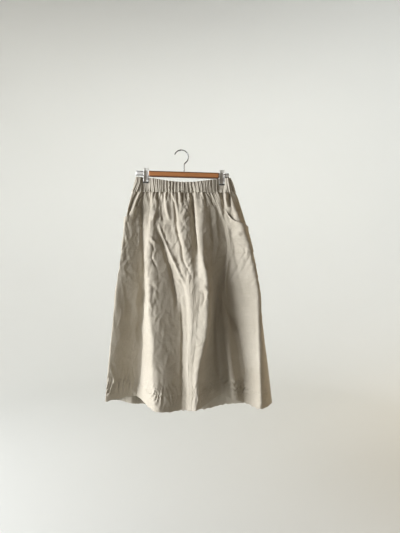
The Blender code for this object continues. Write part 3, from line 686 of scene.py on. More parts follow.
@dataclass
class SkirtForm:
    """The closed loop of cloth that every cut piece is taken from."""

    seam_gap: float = 0.3
    gather_fade: float = 0.045
    cut_width: float = 780.0
    cut_length: float = 750.0
    hem_line: float = 0.932
    hem_reach: float = 0.052
    pucker_mm: float = 14.0
    pucker_depth: float = 1.25
    pucker_share: float = 0.35
    free_stretch: float = 330.0
    panel_calm: float = 0.02
    casing_calm: float = 0.012
    crease_ease: float = 0.02
    crease_end: float = 0.22
    hem_trough: float = 0.004
    plan_step: float = 0.002
    gathers: Gathers = field(default_factory=Gathers)

    def __post_init__(self) -> None:
        """Put the rows in order round the loop."""
        rows = list(FRONT_FOLDS) + list(reversed(BACK_FOLDS))
        casing = list(FRONT_CASING) + list(reversed(BACK_CASING))
        places = [row.share for row in FRONT_FOLDS]
        places += [2.0 - row.share for row in reversed(BACK_FOLDS)]
        self.knots = np.array(places)
        self.levels = np.array([[row.seam, row.high_hip, row.hip, row.thigh, row.knee,
                                 row.shin, row.hem] for row in rows], dtype=float)
        self.casing_levels = np.array([[edge.top, edge.jaw, row.seam]
                                       for edge, row in zip(casing, rows)], dtype=float)
        self.seam_z = np.array([edge.seam_z for edge in casing], dtype=float)
        self.top_z = np.array([edge.top_z for edge in casing], dtype=float)
        self.hem_z = np.array([row.hem_z for row in rows], dtype=float)

    def panel_plan(self, t: Array, drop: Array) -> Array:
        """Return the panels' plain surface on a grid, (drops, places, 3)."""
        plan = spline(np.array(LEVELS), self.levels, drop).transpose(1, 0, 2)
        top = self.seam_z - self.seam_gap
        heights = top + drop[:, None] * (self.hem_z - top)
        rows = np.concatenate((plan, heights[..., None]), axis=2)
        return spline(self.knots, rows, t, period=2.0)

    def casing_plan(self, t: Array, depth: Array) -> Array:
        """Return the casing's plain surface on a grid, (depths, places, 3)."""
        plan = spline(np.array(CASING_LEVELS), self.casing_levels, depth).transpose(1, 0, 2)
        heights = self.top_z + depth[:, None] * (self.seam_z - self.top_z)
        rows = np.concatenate((plan, heights[..., None]), axis=2)
        return spline(self.knots, rows, t, period=2.0)

    def plan_normals(self, plan, t: Array, level: Array) -> Array:
        """Return the level outward normals of a plan on a grid."""
        run = plan(t + self.plan_step, level) - plan(t - self.plan_step, level)
        out = np.stack((run[..., 1], -run[..., 0], np.zeros(run.shape[:2])), axis=2)
        return out / np.linalg.norm(out, axis=2, keepdims=True)

    def crease_height(self, side: Side, points: Array, t: Array) -> Array:
        """Return the height of the listed creases over a grid."""
        height = np.zeros(points.shape[:2])
        for crease in CREASES:
            if crease.side is not side:
                continue
            away, along = distance_to_path(points[..., 0], points[..., 2], crease.path)
            ends = plateau(along, 0.0, 1.0, self.crease_end)
            inside = plateau(t, crease.low, crease.high, self.crease_ease)
            height += (crease.depth * bell(away, crease.width)
                       * (0.15 + 0.85 * ends) * inside[None, :])
        return height

    def wedge_height(self, side: Side, points: Array) -> Array:
        """Return the height of the folds that open at the waist seam."""
        height = np.zeros(points.shape[:2])
        fallen = points[0, :, 2][None, :] - points[..., 2]
        for wedge in WEDGES:
            if wedge.side is side:
                line = wedge.x + wedge.lean * fallen
                width = wedge.width * (1.0 + fallen / (1.6 * wedge.length))
                height += (wedge.height * bell(points[..., 0] - line, width)
                           * bell(fallen, wedge.length))
        return height

    def pucker_height(self, t: Array, drop: Array, across: Array) -> Array:
        """Return the height of the hem's puckers, spaced along the rows' lengths."""
        strength = np.full(t.shape, self.pucker_share)
        for patch in PUCKER_PATCHES:
            strength += patch.strength * bell(t - patch.centre, patch.reach)
        near = bell(drop - self.hem_line, self.hem_reach)
        slant = 50.0 * drift(across / 80.0, 0.0 * across, 72)
        phase = (across / self.pucker_mm + slant * (drop[:, None] - self.hem_line)
                 + 0.9 * drift(t[None, :] * 40.0, drop[:, None] * 14.0, 71))
        wave = np.cos(2 * np.pi * phase) + 0.5 * np.cos(2 * np.pi * 1.7 * phase + 1.0)
        trough = -0.7 * bell(drop - self.hem_line, self.hem_trough)
        return self.pucker_depth * strength[None, :] * near[:, None] * wave + trough[:, None]

    def panel(self, side: Side, t: Array, drop: Array) -> ClothGrid:
        """Lay every fold, crease and pucker on one panel.

        Args:
            side: the half of the tube.
            t: loop places of the columns.
            drop: shares of the drop of the rows.

        Returns:
            The panel's middle surface.
        """
        points = self.panel_plan(t, drop)
        out = self.plan_normals(self.panel_plan, t, drop)
        fade = np.exp(-((drop / self.gather_fade) ** 1.5))
        height = self.gathers.wave(t)[None, :] * fade[:, None]
        calm = 1.0 - bell(from_side_seam(t), self.panel_calm)
        steps = np.linalg.norm(np.diff(points, axis=1), axis=2)
        across = np.concatenate((np.zeros((len(drop), 1)), np.cumsum(steps, axis=1)), axis=1)
        down = (drop * self.cut_length)[:, None] + 0.0 * t[None, :]
        loose = np.zeros_like(height)
        stretch = np.gradient(across, axis=1) / np.gradient(t)[None, :]
        room = np.clip(stretch / self.free_stretch, 0.0, 1.0) ** 2
        height *= room
        for folds in FALLING_FOLDS:
            loose += folds.height(t[None, :], drop[:, None]) * room
        for crumple in CRUMPLES:
            loose += crumple.height(across, down) * (0.35 + 0.65 * smooth(drop / 0.12))[:, None]
        loose += self.crease_height(side, points, t) * smooth(0.25 + drop / 0.02)[:, None]
        for wash in WASH_CREASES[side]:
            loose += wash.height_at(t, drop, across, down) * room
        loose += self.wedge_height(side, points)
        loose += self.pucker_height(t, drop, across) * room
        tuck = 1.1 * bell(drop - 0.028, 0.018) - 1.3 * bell(drop, 0.007)
        points = points + out * (height + loose * calm[None, :] + tuck[:, None])[..., None]
        scallop = 1.1 * drift(t * 95.0, 0.0 * t, 77) + 0.8 * np.cos(2 * np.pi * 38.0 * t)
        points[..., 2] += scallop[None, :] * smooth((drop - 0.97) / 0.03)[:, None]
        return ClothGrid(t, drop, points, grid_normals(points))

    def casing(self, t: Array, depth: Array, hold) -> ClothGrid:
        """Lay the gathers on one half of the casing.

        Args:
            t: loop places of the columns.
            depth: shares of the casing's height of the rows, from its top.
            hold: a function of (x, depth) that says how flat a clip holds it.

        Returns:
            The casing's middle surface.
        """
        points = self.casing_plan(t, depth)
        out = self.plan_normals(self.casing_plan, t, depth)
        flat = hold(points[..., 0], depth[:, None])
        wave = self.gathers.wave(t)
        narrow = np.cos(2 * np.pi * (61.0 * t + 0.4 * np.sin(17.0 * t)))
        sharp = 1.15 * wave + 1.5 * narrow * (0.75 + 0.75 * drift(t * 24.0, 0.0 * t, 93))
        uneven = 0.9 * drift((t * 150.0)[None, :] + 0.0 * depth[:, None],
                             (depth * 3.0)[:, None] + 0.0 * t[None, :], 91)
        calm = 1.0 - bell(from_side_seam(t), self.casing_calm)
        height = (sharp[None, :] + uneven) * (1.0 - flat) * calm[None, :]
        points = points + out * height[..., None]
        pressed = np.where((np.mod(t, 2.0) < 1.0)[None, :], -CLOTH_AT_CLIP, CLOTH_AT_CLIP)
        points[..., 1] += (pressed - points[..., 1]) * flat
        return ClothGrid(t, depth, points, grid_normals(points))


# Meshes

def mesh_from(name: str, verts: Array, faces: list, uvs: Array | None = None) -> bpy.types.Mesh:
    """Make a mesh in metres from points in millimetres.

    Args:
        name: the mesh's name.
        verts: an array (n, 3).
        faces: corner numbers of each face.
        uvs: an array (n, 2) in metres of cut cloth, or None.

    Returns:
        A smooth-shaded mesh.
    """
    mesh = bpy.data.meshes.new(name)
    mesh.from_pydata((np.asarray(verts) * MM).tolist(), [], faces)
    if uvs is not None:
        layer = mesh.uv_layers.new(name=UV_NAME)
        corner = np.empty(len(mesh.loops), dtype=np.int32)
        mesh.loops.foreach_get("vertex_index", corner)
        layer.data.foreach_set("uv", np.asarray(uvs)[corner].astype(np.float32).ravel())
    mesh.update()
    mesh.shade_smooth()
    mesh.set_sharp_from_angle(angle=CLOTH_SHARP)
    return mesh


def wall_mesh(name: str, outer: Array, inner: Array, uvs: Array, round_rim: float,
              step: int = 1) -> bpy.types.Mesh:
    """Close two grids into one wall with rounded upper and lower edges.

    Args:
        name: the mesh's name.
        outer: the outside grid (rows, columns, 3), rows from the top down.
        inner: the inside grid of the same shape.
        uvs: cut-cloth places of the grid (rows, columns, 2), in metres.
        round_rim: how far the upper and lower edges stand out in their middle.
        step: how many outer rows the plainer inside takes at a time.

    Returns:
        A closed mesh whose faces point outwards.
    """
    rows, columns = outer.shape[:2]
    taken = sorted(set(range(0, rows, step)) | {rows - 1})
    inner, inner_uvs = inner[taken], uvs[taken]
    top = (outer[0] + inner[0]) / 2
    low = (outer[-1] + inner[-1]) / 2
    top[:, 2] += round_rim
    low[:, 2] -= round_rim
    verts = np.concatenate((outer.reshape(-1, 3), inner.reshape(-1, 3), top, low))
    uv = np.concatenate((uvs.reshape(-1, 2), inner_uvs.reshape(-1, 2), uvs[0], uvs[-1]))
    front = np.arange(rows * columns).reshape(rows, columns)
    back = np.arange(len(taken) * columns).reshape(len(taken), columns) + front.size
    upper = np.arange(columns) + front.size + back.size
    lower = upper + columns

    def strip(first: Array, second: Array) -> list:
        """Join two rows of corners with quads."""
        return np.stack((first[:-1], second[:-1], second[1:], first[1:]), axis=1).tolist()

    faces = []
    for k in range(rows - 1):
        faces += strip(front[k], front[k + 1])
    for k in range(len(taken) - 1):
        faces += strip(back[k + 1], back[k])
    faces += strip(upper, front[0]) + strip(back[0], upper)
    faces += strip(front[-1], lower) + strip(lower, back[-1])
    for column, turned in ((0, False), (columns - 1, True)):
        sides = [(front[0, column], upper[column], back[0, column]),
                 (front[-1, column], back[-1, column], lower[column])]
        for k in range(len(taken) - 1):
            run = front[taken[k]:taken[k + 1] + 1, column]
            sides.append((*run[::-1], back[k, column], back[k + 1, column]))
        faces += [[int(v) for v in (reversed(ring) if turned else ring)] for ring in sides]
    return mesh_from(name, verts, faces, uv)


def add_piece(name: str, mesh: bpy.types.Mesh, material: bpy.types.Material) -> bpy.types.Object:
    """Link a finished mesh at the origin under its name."""
    mesh.name = name
    mesh.materials.clear()
    mesh.materials.append(material)
    piece = bpy.data.objects.new(name, mesh)
    bpy.context.scene.collection.objects.link(piece)
    return piece


def settle(piece: bpy.types.Object, slot: str, *nodes: str) -> None:
    """Make a piece ride on the body and hide the solids that it stands for."""
    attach(piece, BODY)
    if nodes:
        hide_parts(*nodes)
    LOG.info("%s: %d faces", piece.name, len(piece.data.polygons))


# Finishes

def add_node(tree: bpy.types.NodeTree, kind: str, inputs: dict | None = None,
             **settings) -> bpy.types.Node:
    """Add a node to a tree.

    Args:
        tree: the tree of a material, a modifier or the world.
        kind: the node's type.
        inputs: a value or a socket for each named or numbered input.
        settings: properties of the node.

    Returns:
        The new node.
    """
    node = tree.nodes.new(kind)
    for name, value in settings.items():
        setattr(node, name, value)
    for key, value in (inputs or {}).items():
        if isinstance(value, bpy.types.NodeSocket):
            tree.links.new(value, node.inputs[key])
        else:
            node.inputs[key].default_value = value
    return node


class Bench:
    """Builds one material's nodes."""

    def __init__(self, name: str) -> None:
        """Start a Principled material."""
        self.material = bpy.data.materials.new(name)
        self.material.use_nodes = True
        self.tree = self.material.node_tree
        self.shader = self.tree.nodes["Principled BSDF"]

    def add(self, kind: str, inputs: dict | None = None, **settings) -> bpy.types.Node:
        """Add a node to the material, as add_node does."""
        return add_node(self.tree, kind, inputs, **settings)

    def spot(self) -> bpy.types.NodeSocket:
        """Return the place on the object."""
        return self.add("ShaderNodeTexCoord").outputs["Object"]

    def maths(self, operation: str, first, second=0.0) -> bpy.types.NodeSocket:
        """Return the result of a Math node on two numbers or sockets."""
        return self.add("ShaderNodeMath", {0: first, 1: second}, operation=operation).outputs[0]

    def blend(self, first, share: float, second) -> bpy.types.NodeSocket:
        """Return a weighted mean of two values."""
        return self.maths("ADD", self.maths("MULTIPLY", first, share),
                          self.maths("MULTIPLY", second, 1.0 - share))

    def noise(self, place, scale: float, detail: float = 3.0, rough: float = 0.5,
              kind: str = "FBM", **extra) -> bpy.types.NodeSocket:
        """Return the value of a Noise texture at a place."""
        inputs = {"Vector": place, "Scale": scale, "Detail": detail, "Roughness": rough, **extra}
        return self.add("ShaderNodeTexNoise", inputs, noise_type=kind).outputs[0]

    def moved(self, place, scale: tuple, location: tuple = (0, 0, 0),
              rotation: tuple = (0, 0, 0)) -> bpy.types.NodeSocket:
        """Return a place after a Mapping node."""
        return self.add("ShaderNodeMapping", {"Vector": place, "Scale": scale,
                                              "Location": location,
                                              "Rotation": rotation}).outputs[0]

    def ranged(self, value, low: float, high: float, to_low: float,
               to_high: float) -> bpy.types.NodeSocket:
        """Return a value carried from one range to another, and held inside it."""
        return self.add("ShaderNodeMapRange", {0: value, 1: low, 2: high, 3: to_low,
                                               4: to_high}).outputs[0]

    def mixed(self, factor, first, second) -> bpy.types.NodeSocket:
        """Return a mix of two colours."""
        def colour(value):
            """Give a plain colour its alpha."""
            return (*value, 1.0) if isinstance(value, tuple) else value
        node = self.add("ShaderNodeMix", {0: factor, 6: colour(first), 7: colour(second)},
                        data_type="RGBA")
        return node.outputs[2]

    def bump(self, height, distance: float, strength: float = 1.0,
             under=None) -> bpy.types.NodeSocket:
        """Return a normal that a height in metres gives, on top of another."""
        inputs = {"Height": height, "Distance": distance, "Strength": strength}
        if under is not None:
            inputs["Normal"] = under
        return self.add("ShaderNodeBump", inputs).outputs[0]

    def dress(self, **inputs) -> bpy.types.Material:
        """Set or link the shader's inputs, with _ for a space, and return the material."""
        for key, value in inputs.items():
            socket = self.shader.inputs[key.replace("_", " ")]
            if isinstance(value, bpy.types.NodeSocket):
                self.tree.links.new(value, socket)
            else:
                socket.default_value = (*value, 1.0) if isinstance(value, tuple) else value
        return self.material


@dataclass(frozen=True)
class Linen:
    """Washed plain-weave linen."""

    name: str
    light: Colour
    deep: Colour
    seed: float
    crumple: float = 1.0
    thread_pitch: float = 0.0011

    def material(self) -> bpy.types.Material:
        """Return the material with the weave, slubs, wash marks and fine creases."""
        bench = Bench(self.name)
        cut = bench.add("ShaderNodeUVMap", uv_map=UV_NAME).outputs[0]
        place = bench.moved(cut, (1, 1, 1), (self.seed, self.seed * 0.37, 0))
        wash = bench.noise(place, 9.0, 4.0, 0.6)
        weft = bench.noise(bench.moved(place, (38, 1250, 1)), 1.0, 2.0)
        warp = bench.noise(bench.moved(place, (1250, 38, 1)), 1.0, 2.0)
        slub = bench.blend(weft, 0.55, warp)
        base = bench.mixed(bench.ranged(wash, 0.3, 0.7, 0.0, 1.0), self.light, self.deep)
        tone = bench.mixed(bench.ranged(slub, 0.38, 0.62, 0.0, 0.34), base,
                           tinted(self.deep, 0.72))
        fleck = bench.noise(bench.moved(place, (160, 420, 1)), 1.0, 2.0)
        tone = bench.mixed(bench.ranged(fleck, 0.60, 0.72, 0.0, 0.4), tone,
                           tinted(self.light, 1.12))
        soft = bench.noise(bench.moved(place, (1.0, 0.5, 1)), 30.0, 3.0, 0.55, Distortion=0.6)
        crush = bench.noise(bench.moved(place, (1.0, 0.62, 1)), 17.0, 3.0, 0.5,
                            "RIDGED_MULTIFRACTAL")
        scale = 0.314159 / self.thread_pitch
        weave = []
        for direction in ("X", "Y"):
            wave = bench.add("ShaderNodeTexWave", {"Vector": place, "Scale": scale,
                                                   "Distortion": 1.2, "Detail": 1.0,
                                                   "Detail Scale": 1.0},
                             wave_type="BANDS", bands_direction=direction)
            weave.append(wave.outputs["Fac"])
        threads = bench.maths("MAXIMUM", *weave)
        normal = bench.bump(soft, 0.0055 * self.crumple, 0.55)
        normal = bench.bump(crush, 0.0018 * self.crumple, 0.5, normal)
        normal = bench.bump(slub, 0.0006, 0.6, normal)
        normal = bench.bump(threads, 0.00016, 0.6, normal)
        return bench.dress(Base_Color=tone, Normal=normal, Roughness=0.9,
                           Specular_IOR_Level=0.22, Sheen_Weight=0.12, Sheen_Roughness=0.5)


@dataclass(frozen=True)
class ShadedRim:
    """The upper and lower edges of a level bar, in its own tilted frame, and the mask of the painted
    shade along them.
    """

    centre_z: float
    half_height: float
    tilt: float

    def level(self, bench: Bench, spot) -> bpy.types.NodeSocket:
        """Return a place in the bar's own frame."""
        return bench.add("ShaderNodeVectorRotate", {"Vector": spot, "Angle": -self.tilt},
                         rotation_type="Y_AXIS").outputs[0]

    def share(self, bench: Bench, spot, start: float, full: float) -> bpy.types.NodeSocket:
        """Return how much painted shade a place on the edges takes, from 0 to 1."""
        height = bench.add("ShaderNodeSeparateXYZ", {0: self.level(bench, spot)}).outputs[2]
        away = bench.maths("ABSOLUTE", bench.maths("SUBTRACT", height, self.centre_z * MM))
        return bench.ranged(away, (self.half_height - start) * MM,
                            (self.half_height - full) * MM, 0.0, 0.9)


@dataclass(frozen=True)
class StainedWood:
    """Orange-brown stained wood with a satin coat."""

    name: str
    pale: Colour
    deep: Colour
    # the near-black tone of the pores, also used as painted shade along the upper and lower edges
    edge: Colour
    shaded_rim: ShadedRim

    def material(self) -> bpy.types.Material:
        """Return the material with the grain along the bar, the pores and painted shade on the upper
        and lower edges.
        """
        bench = Bench(self.name)
        spot = bench.spot()
        level = self.shaded_rim.level(bench, spot)
        grain = bench.noise(bench.moved(level, (14, 300, 300)), 1.0, 5.0, 0.62, Distortion=0.8)
        rings = bench.add("ShaderNodeTexWave", {"Vector": bench.moved(level, (4, 30, 30)),
                                                "Scale": 4.0, "Distortion": 5.0, "Detail": 3.0},
                          bands_direction="Z").outputs["Fac"]
        pores = bench.noise(bench.moved(level, (120, 1800, 1800)), 1.0, 2.0)
        blend = bench.blend(grain, 0.7, rings)
        tone = bench.mixed(bench.ranged(blend, 0.3, 0.72, 0.0, 1.0), self.pale, self.deep)
        tone = bench.mixed(bench.ranged(pores, 0.60, 0.74, 0.0, 0.5), tone, self.edge)
        # painted shade: the rounded upper and lower edges darkened towards the near-black tone
        tone = bench.mixed(self.shaded_rim.share(bench, spot, 5.6, 2.2), tone, self.edge)
        normal = bench.bump(grain, 0.0004, 0.5)
        normal = bench.bump(pores, 0.0002, 0.5, normal)
        return bench.dress(Base_Color=tone, Normal=normal,
                           Roughness=bench.ranged(grain, 0.3, 0.7, 0.34, 0.5),
                           Coat_Weight=0.18, Coat_Roughness=0.25)


@dataclass(frozen=True)
class Steel:
    """Plated steel with fine wear."""

    name: str
    colour: Colour
    smooth_to: float
    rough_to: float
    brush: tuple[float, float, float] = (60, 900, 900)
    shaded_rim: ShadedRim | None = None

    def material(self) -> bpy.types.Material:
        """Return the material with its brushing, dull patches, dents and any painted shade on the upper
        and lower edges.
        """
        bench = Bench(self.name)
        spot = bench.spot()
        brushed = bench.noise(bench.moved(spot, self.brush), 1.0, 3.0)
        patch = bench.noise(spot, 160.0, 3.0, 0.6)
        blend = bench.blend(brushed, 0.5, patch)
        tone = bench.mixed(bench.ranged(patch, 0.5, 0.75, 0.0, 0.6), self.colour,
                           tinted(self.colour, 0.62))
        # painted shade: the upper and lower edges darkened to a tenth of the colour
        if self.shaded_rim:
            tone = bench.mixed(self.shaded_rim.share(bench, spot, 3.4, 1.9), tone,
                               tinted(self.colour, 0.10))
        normal = bench.bump(brushed, 0.00004, 0.5)
        normal = bench.bump(patch, 0.0002, 0.3, normal)
        return bench.dress(Base_Color=tone, Normal=normal, Metallic=1.0,
                           Roughness=bench.ranged(blend, 0.35, 0.65, self.smooth_to,
                                                  self.rough_to))


@dataclass(frozen=True)
class Rubber:
    """Matt black rubber with a dusty face."""

    name: str
    colour: Colour

    def material(self) -> bpy.types.Material:
        """Build the dust and the moulded grain."""
        bench = Bench(self.name)
        spot = bench.spot()
        dust = bench.noise(spot, 420.0, 4.0, 0.6)
        pale = tuple(value + 0.05 for value in self.colour)
        tone = bench.mixed(bench.ranged(dust, 0.45, 0.7, 0.0, 0.8), self.colour, pale)
        return bench.dress(Base_Color=tone, Normal=bench.bump(dust, 0.0002, 0.6),
                           Roughness=0.82)


@dataclass(frozen=True)
class Thread:
    """Sewing thread a shade lighter than the cloth."""

    name: str
    colour: Colour

    def material(self) -> bpy.types.Material:
        """Build the twist of the thread."""
        bench = Bench(self.name)
        spot = bench.spot()
        twist = bench.noise(spot, 2600.0, 1.0)
        tone = bench.mixed(bench.ranged(twist, 0.35, 0.65, 0.0, 1.0), self.colour,
                           tinted(self.colour, 0.7))
        return bench.dress(Base_Color=tone, Normal=bench.bump(twist, 0.00008, 0.6),
                           Roughness=0.7, Sheen_Weight=0.1)


@dataclass(frozen=True)
class Plaster:
    """The plain pale floor and its sweep."""

    name: str
    colour: Colour

    def material(self) -> bpy.types.Material:
        """Build a matt pale surface with a faint unevenness."""
        bench = Bench(self.name)
        spot = bench.spot()
        tone = bench.mixed(bench.ranged(bench.noise(spot, 2.0, 3.0), 0.3, 0.7, 0.0, 0.25),
                           self.colour, tinted(self.colour, 0.96))
        return bench.dress(Base_Color=tone, Roughness=0.9, Specular_IOR_Level=0.2)


# Sewing

class StitchTree:
    """Geometry Nodes that lay small thread stitches along rows of points."""

    def __init__(self, thread: bpy.types.Material) -> None:
        """Build the tree.

        Args:
            thread: the stitches' material.
        """
        tree = bpy.data.node_groups.new("stitch row", "GeometryNodeTree")
        tree.is_modifier = True
        self.tree = tree
        self.inputs: dict[str, str] = {}
        face = tree.interface
        face.new_socket("Geometry", in_out="INPUT", socket_type="NodeSocketGeometry")
        for name, kind in (("Pitch", "NodeSocketFloat"), ("Stitch length", "NodeSocketFloat"),
                           ("Thread size", "NodeSocketFloat"), ("Seed", "NodeSocketInt")):
            self.inputs[name] = face.new_socket(name, in_out="INPUT",
                                                socket_type=kind).identifier
        face.new_socket("Geometry", in_out="OUTPUT", socket_type="NodeSocketGeometry")
        given = add_node(tree, "NodeGroupInput").outputs
        curve = add_node(tree, "GeometryNodeMeshToCurve", {"Mesh": given["Geometry"]})
        spaced = add_node(tree, "GeometryNodeResampleCurve", mode="LENGTH",
                          inputs={"Curve": curve.outputs[0], "Length": given["Pitch"]})
        stitch = add_node(tree, "GeometryNodeMeshUVSphere",
                          {"Segments": 6, "Rings": 4, "Radius": 0.5})
        tangent = add_node(tree, "GeometryNodeInputTangent")
        aim = add_node(tree, "FunctionNodeAlignRotationToVector",
                       {"Vector": tangent.outputs[0]}, axis="Z")
        uneven = add_node(tree, "FunctionNodeRandomValue", data_type="FLOAT",
                          inputs={2: 0.82, 3: 1.12, "Seed": given["Seed"]})
        size = add_node(tree, "ShaderNodeCombineXYZ", {
            0: given["Thread size"], 1: given["Thread size"], 2: given["Stitch length"]})
        sized = add_node(tree, "ShaderNodeVectorMath", operation="SCALE",
                         inputs={0: size.outputs[0], "Scale": uneven.outputs[1]})
        laid = add_node(tree, "GeometryNodeInstanceOnPoints", {
            "Points": spaced.outputs[0], "Instance": stitch.outputs["Mesh"],
            "Rotation": aim.outputs["Rotation"], "Scale": sized.outputs[0]})
        real = add_node(tree, "GeometryNodeRealizeInstances", {0: laid.outputs[0]})
        eased = add_node(tree, "GeometryNodeSetShadeSmooth", {0: real.outputs[0]})
        dressed = add_node(tree, "GeometryNodeSetMaterial",
                           {"Geometry": eased.outputs[0], "Material": thread})
        add_node(tree, "NodeGroupOutput", {0: dressed.outputs[0]})

    def sew(self, name: str, rows: list[Array], pitch: float, length: float,
            size: float, seed: int) -> bpy.types.Mesh:
        """Lay stitches along rows of points.

        Args:
            name: the mesh's name.
            rows: arrays (n, 3) of points in millimetres.
            pitch: the step from stitch to stitch, in millimetres.
            length: one stitch's length, in millimetres.
            size: the thread's thickness, in millimetres.
            seed: which unevenness to use.

        Returns:
            A plain mesh of all the stitches.
        """
        path = bpy.data.meshes.new(name)
        verts = np.concatenate(rows) * MM
        edges, start = [], 0
        for row in rows:
            edges += [(start + i, start + i + 1) for i in range(len(row) - 1)]
            start += len(row)
        path.from_pydata(verts.tolist(), edges, [])
        holder = bpy.data.objects.new(name, path)
        bpy.context.scene.collection.objects.link(holder)
        modifier = holder.modifiers.new("stitches", "NODES")
        modifier.node_group = self.tree
        modifier[self.inputs["Pitch"]] = pitch * MM
        modifier[self.inputs["Stitch length"]] = length * MM
        modifier[self.inputs["Thread size"]] = size * MM
        modifier[self.inputs["Seed"]] = seed
        graph = bpy.context.evaluated_depsgraph_get()
        mesh = bpy.data.meshes.new_from_object(holder.evaluated_get(graph))
        bpy.data.objects.remove(holder, do_unlink=True)
        return mesh


@dataclass
class Sewing:
    """Collects rows of stitches and sews them as pieces."""

    tree: StitchTree
    thread: bpy.types.Material
    pitch: float = 3.4
    length: float = 2.7
    size: float = 0.6
    rise: float = 0.12

    def row(self, grid: ClothGrid, row: int, lift: float, trim: int = 2) -> Array:
        """Return a row of points just above a grid's outer face."""
        line = grid.points[row] + grid.normals[row] * (lift + self.rise)
        return line[trim:len(line) - trim]

    def sew(self, name: str, rows: list[Array], slot: str, seed: int) -> bpy.types.Object:
        """Sew rows as one piece.

        Args:
            name: the piece's name.
            rows: the rows of points.
            slot: not used.
            seed: which unevenness to use.

        Returns:
            The stitches' object.
        """
        mesh = self.tree.sew(name, rows, self.pitch, self.length, self.size, seed)
        piece = add_piece(name, mesh, self.thread)
        settle(piece, slot)
        return piece


# The skirt

@dataclass
class Skirt:
    """Two panels, two halves of the casing and two pockets, with their sewing."""

    form: SkirtForm
    sewing: Sewing
    clip_lines: tuple[float, float]
    clip_reach: float = 13.5
    jaw_depth: float = 0.5
    panel_wall: float = 1.2
    casing_wall: float = 2.0
    pocket_wall: float = 1.0
    pocket_lift: float = 0.4
    hem_turn: float = 1.3
    columns: int = 336
    back_columns: int = 300
    casing_columns: int = 420
    casing_rows: int = 17
    hem_step: float = 0.0008
    casing_height: float = 45.0
    casing_swell: float = 0.8
    seam_inset: float = 0.0003

    def rows(self) -> Array:
        """Return the panels' drops, close together at the gathers and at the hem."""
        line = self.form.hem_line
        return np.concatenate((
            np.linspace(0.0, 0.10, 26, endpoint=False),
            np.linspace(0.10, 0.885, 146, endpoint=False),
            np.linspace(0.885, line - 0.002, 12, endpoint=False),
            np.array([line - 0.002, line - self.hem_step, line + self.hem_step]),
            np.linspace(line + 0.004, 0.998, 14), np.array([1.0])))

    def columns_of(self, side: Side, count: int) -> Array:
        """Return a half's loop places."""
        start, end = side.span()
        return np.linspace(start + self.seam_inset, end - self.seam_inset, count)

    def uvs(self, t: Array, drop: Array) -> Array:
        """Return cut-cloth places over a grid, in metres."""
        u, v = np.meshgrid(t * self.form.cut_width * MM, -drop * self.form.cut_length * MM)
        return np.stack((u, v), axis=2)

    def hold(self, x: Array, depth: Array) -> Array:
        """Say how firmly the clips hold the casing flat, from 0 to 1."""
        grip = np.zeros(np.broadcast(x, depth).shape)
        for line in self.clip_lines:
            grip = np.maximum(grip, np.exp(-((x - line) / self.clip_reach) ** 6))
        return grip * (1.0 - smooth((depth - self.jaw_depth) / (1.0 - self.jaw_depth)))

    def build_panel(self, side: Side, linen: Linen) -> ClothGrid:
        """Build one panel with its turned hem.

        Args:
            side: the half of the tube.
            linen: its finish.

        Returns:
            The panel's grid, for the sewing.
        """
        count = self.columns if side is Side.FRONT else self.back_columns
        t, drop = self.columns_of(side, count), self.rows()
        grid = self.form.panel(side, t, drop)
        turn = self.hem_turn * (drop >= self.form.hem_line)
        outer = grid.points + grid.normals * (self.panel_wall / 2)
        inner = grid.points - grid.normals * (self.panel_wall / 2 + turn)[:, None, None]
        name = side.value + "_panel"
        mesh = wall_mesh(name + "_cloth", outer, inner, self.uvs(t, drop), 0.7, 3)
        piece = add_piece(name + "_cloth", mesh, linen.material())
        settle(piece, "linen", name)
        return grid

    def build_casing(self, side: Side, linen: Linen) -> ClothGrid:
        """Build one half of the elastic casing.

        Args:
            side: the half of the tube.
            linen: its finish.

        Returns:
            The casing's grid, for the sewing.
        """
        t = self.columns_of(side, self.casing_columns)
        depth = np.linspace(0.0, 1.0, self.casing_rows)
        grid = self.form.casing(t, depth, self.hold)
        swell = self.casing_swell * np.sin(np.pi * depth)[:, None, None]
        outer = grid.points + grid.normals * (self.casing_wall / 2 + swell)
        inner = grid.points - grid.normals * (self.casing_wall / 2)
        name = "waistband_" + side.value
        uvs = np.stack(np.meshgrid(t * self.form.cut_width * MM,
                                   -depth * self.casing_height * MM), axis=2)
        mesh = wall_mesh(name + "_cloth", outer, inner, uvs, 0.6)
        piece = add_piece(name + "_cloth", mesh, linen.material())
        settle(piece, "casing_linen", name)
        return grid

    def build(self, finishes: dict[str, Linen]) -> None:
        """Build every piece of cloth and its sewing.

        Args:
            finishes: a finish for each kind of piece.
        """
        panels = {side: self.build_panel(side, finishes[side.value]) for side in Side}
        bands = {side: self.build_casing(side, finishes["casing"]) for side in Side}
        for side in Side:
            panel, band = panels[side], bands[side]
            hem_row = int(np.argmin(np.abs(panel.drop - self.form.hem_line - self.hem_step)))
            rows = [self.sewing.row(panel, hem_row, self.panel_wall / 2)]
            self.sewing.sew("hem_stitches_" + side.value, rows, "linen", 3)
            rows = [self.sewing.row(band, self.casing_rows - 2, self.casing_wall / 2 + 0.1)]
            self.sewing.sew("casing_stitches_" + side.value, rows, "casing_linen", 5)
        for pocket in POCKETS:
            pocket.build(self, panels[Side.FRONT], finishes["pocket"])


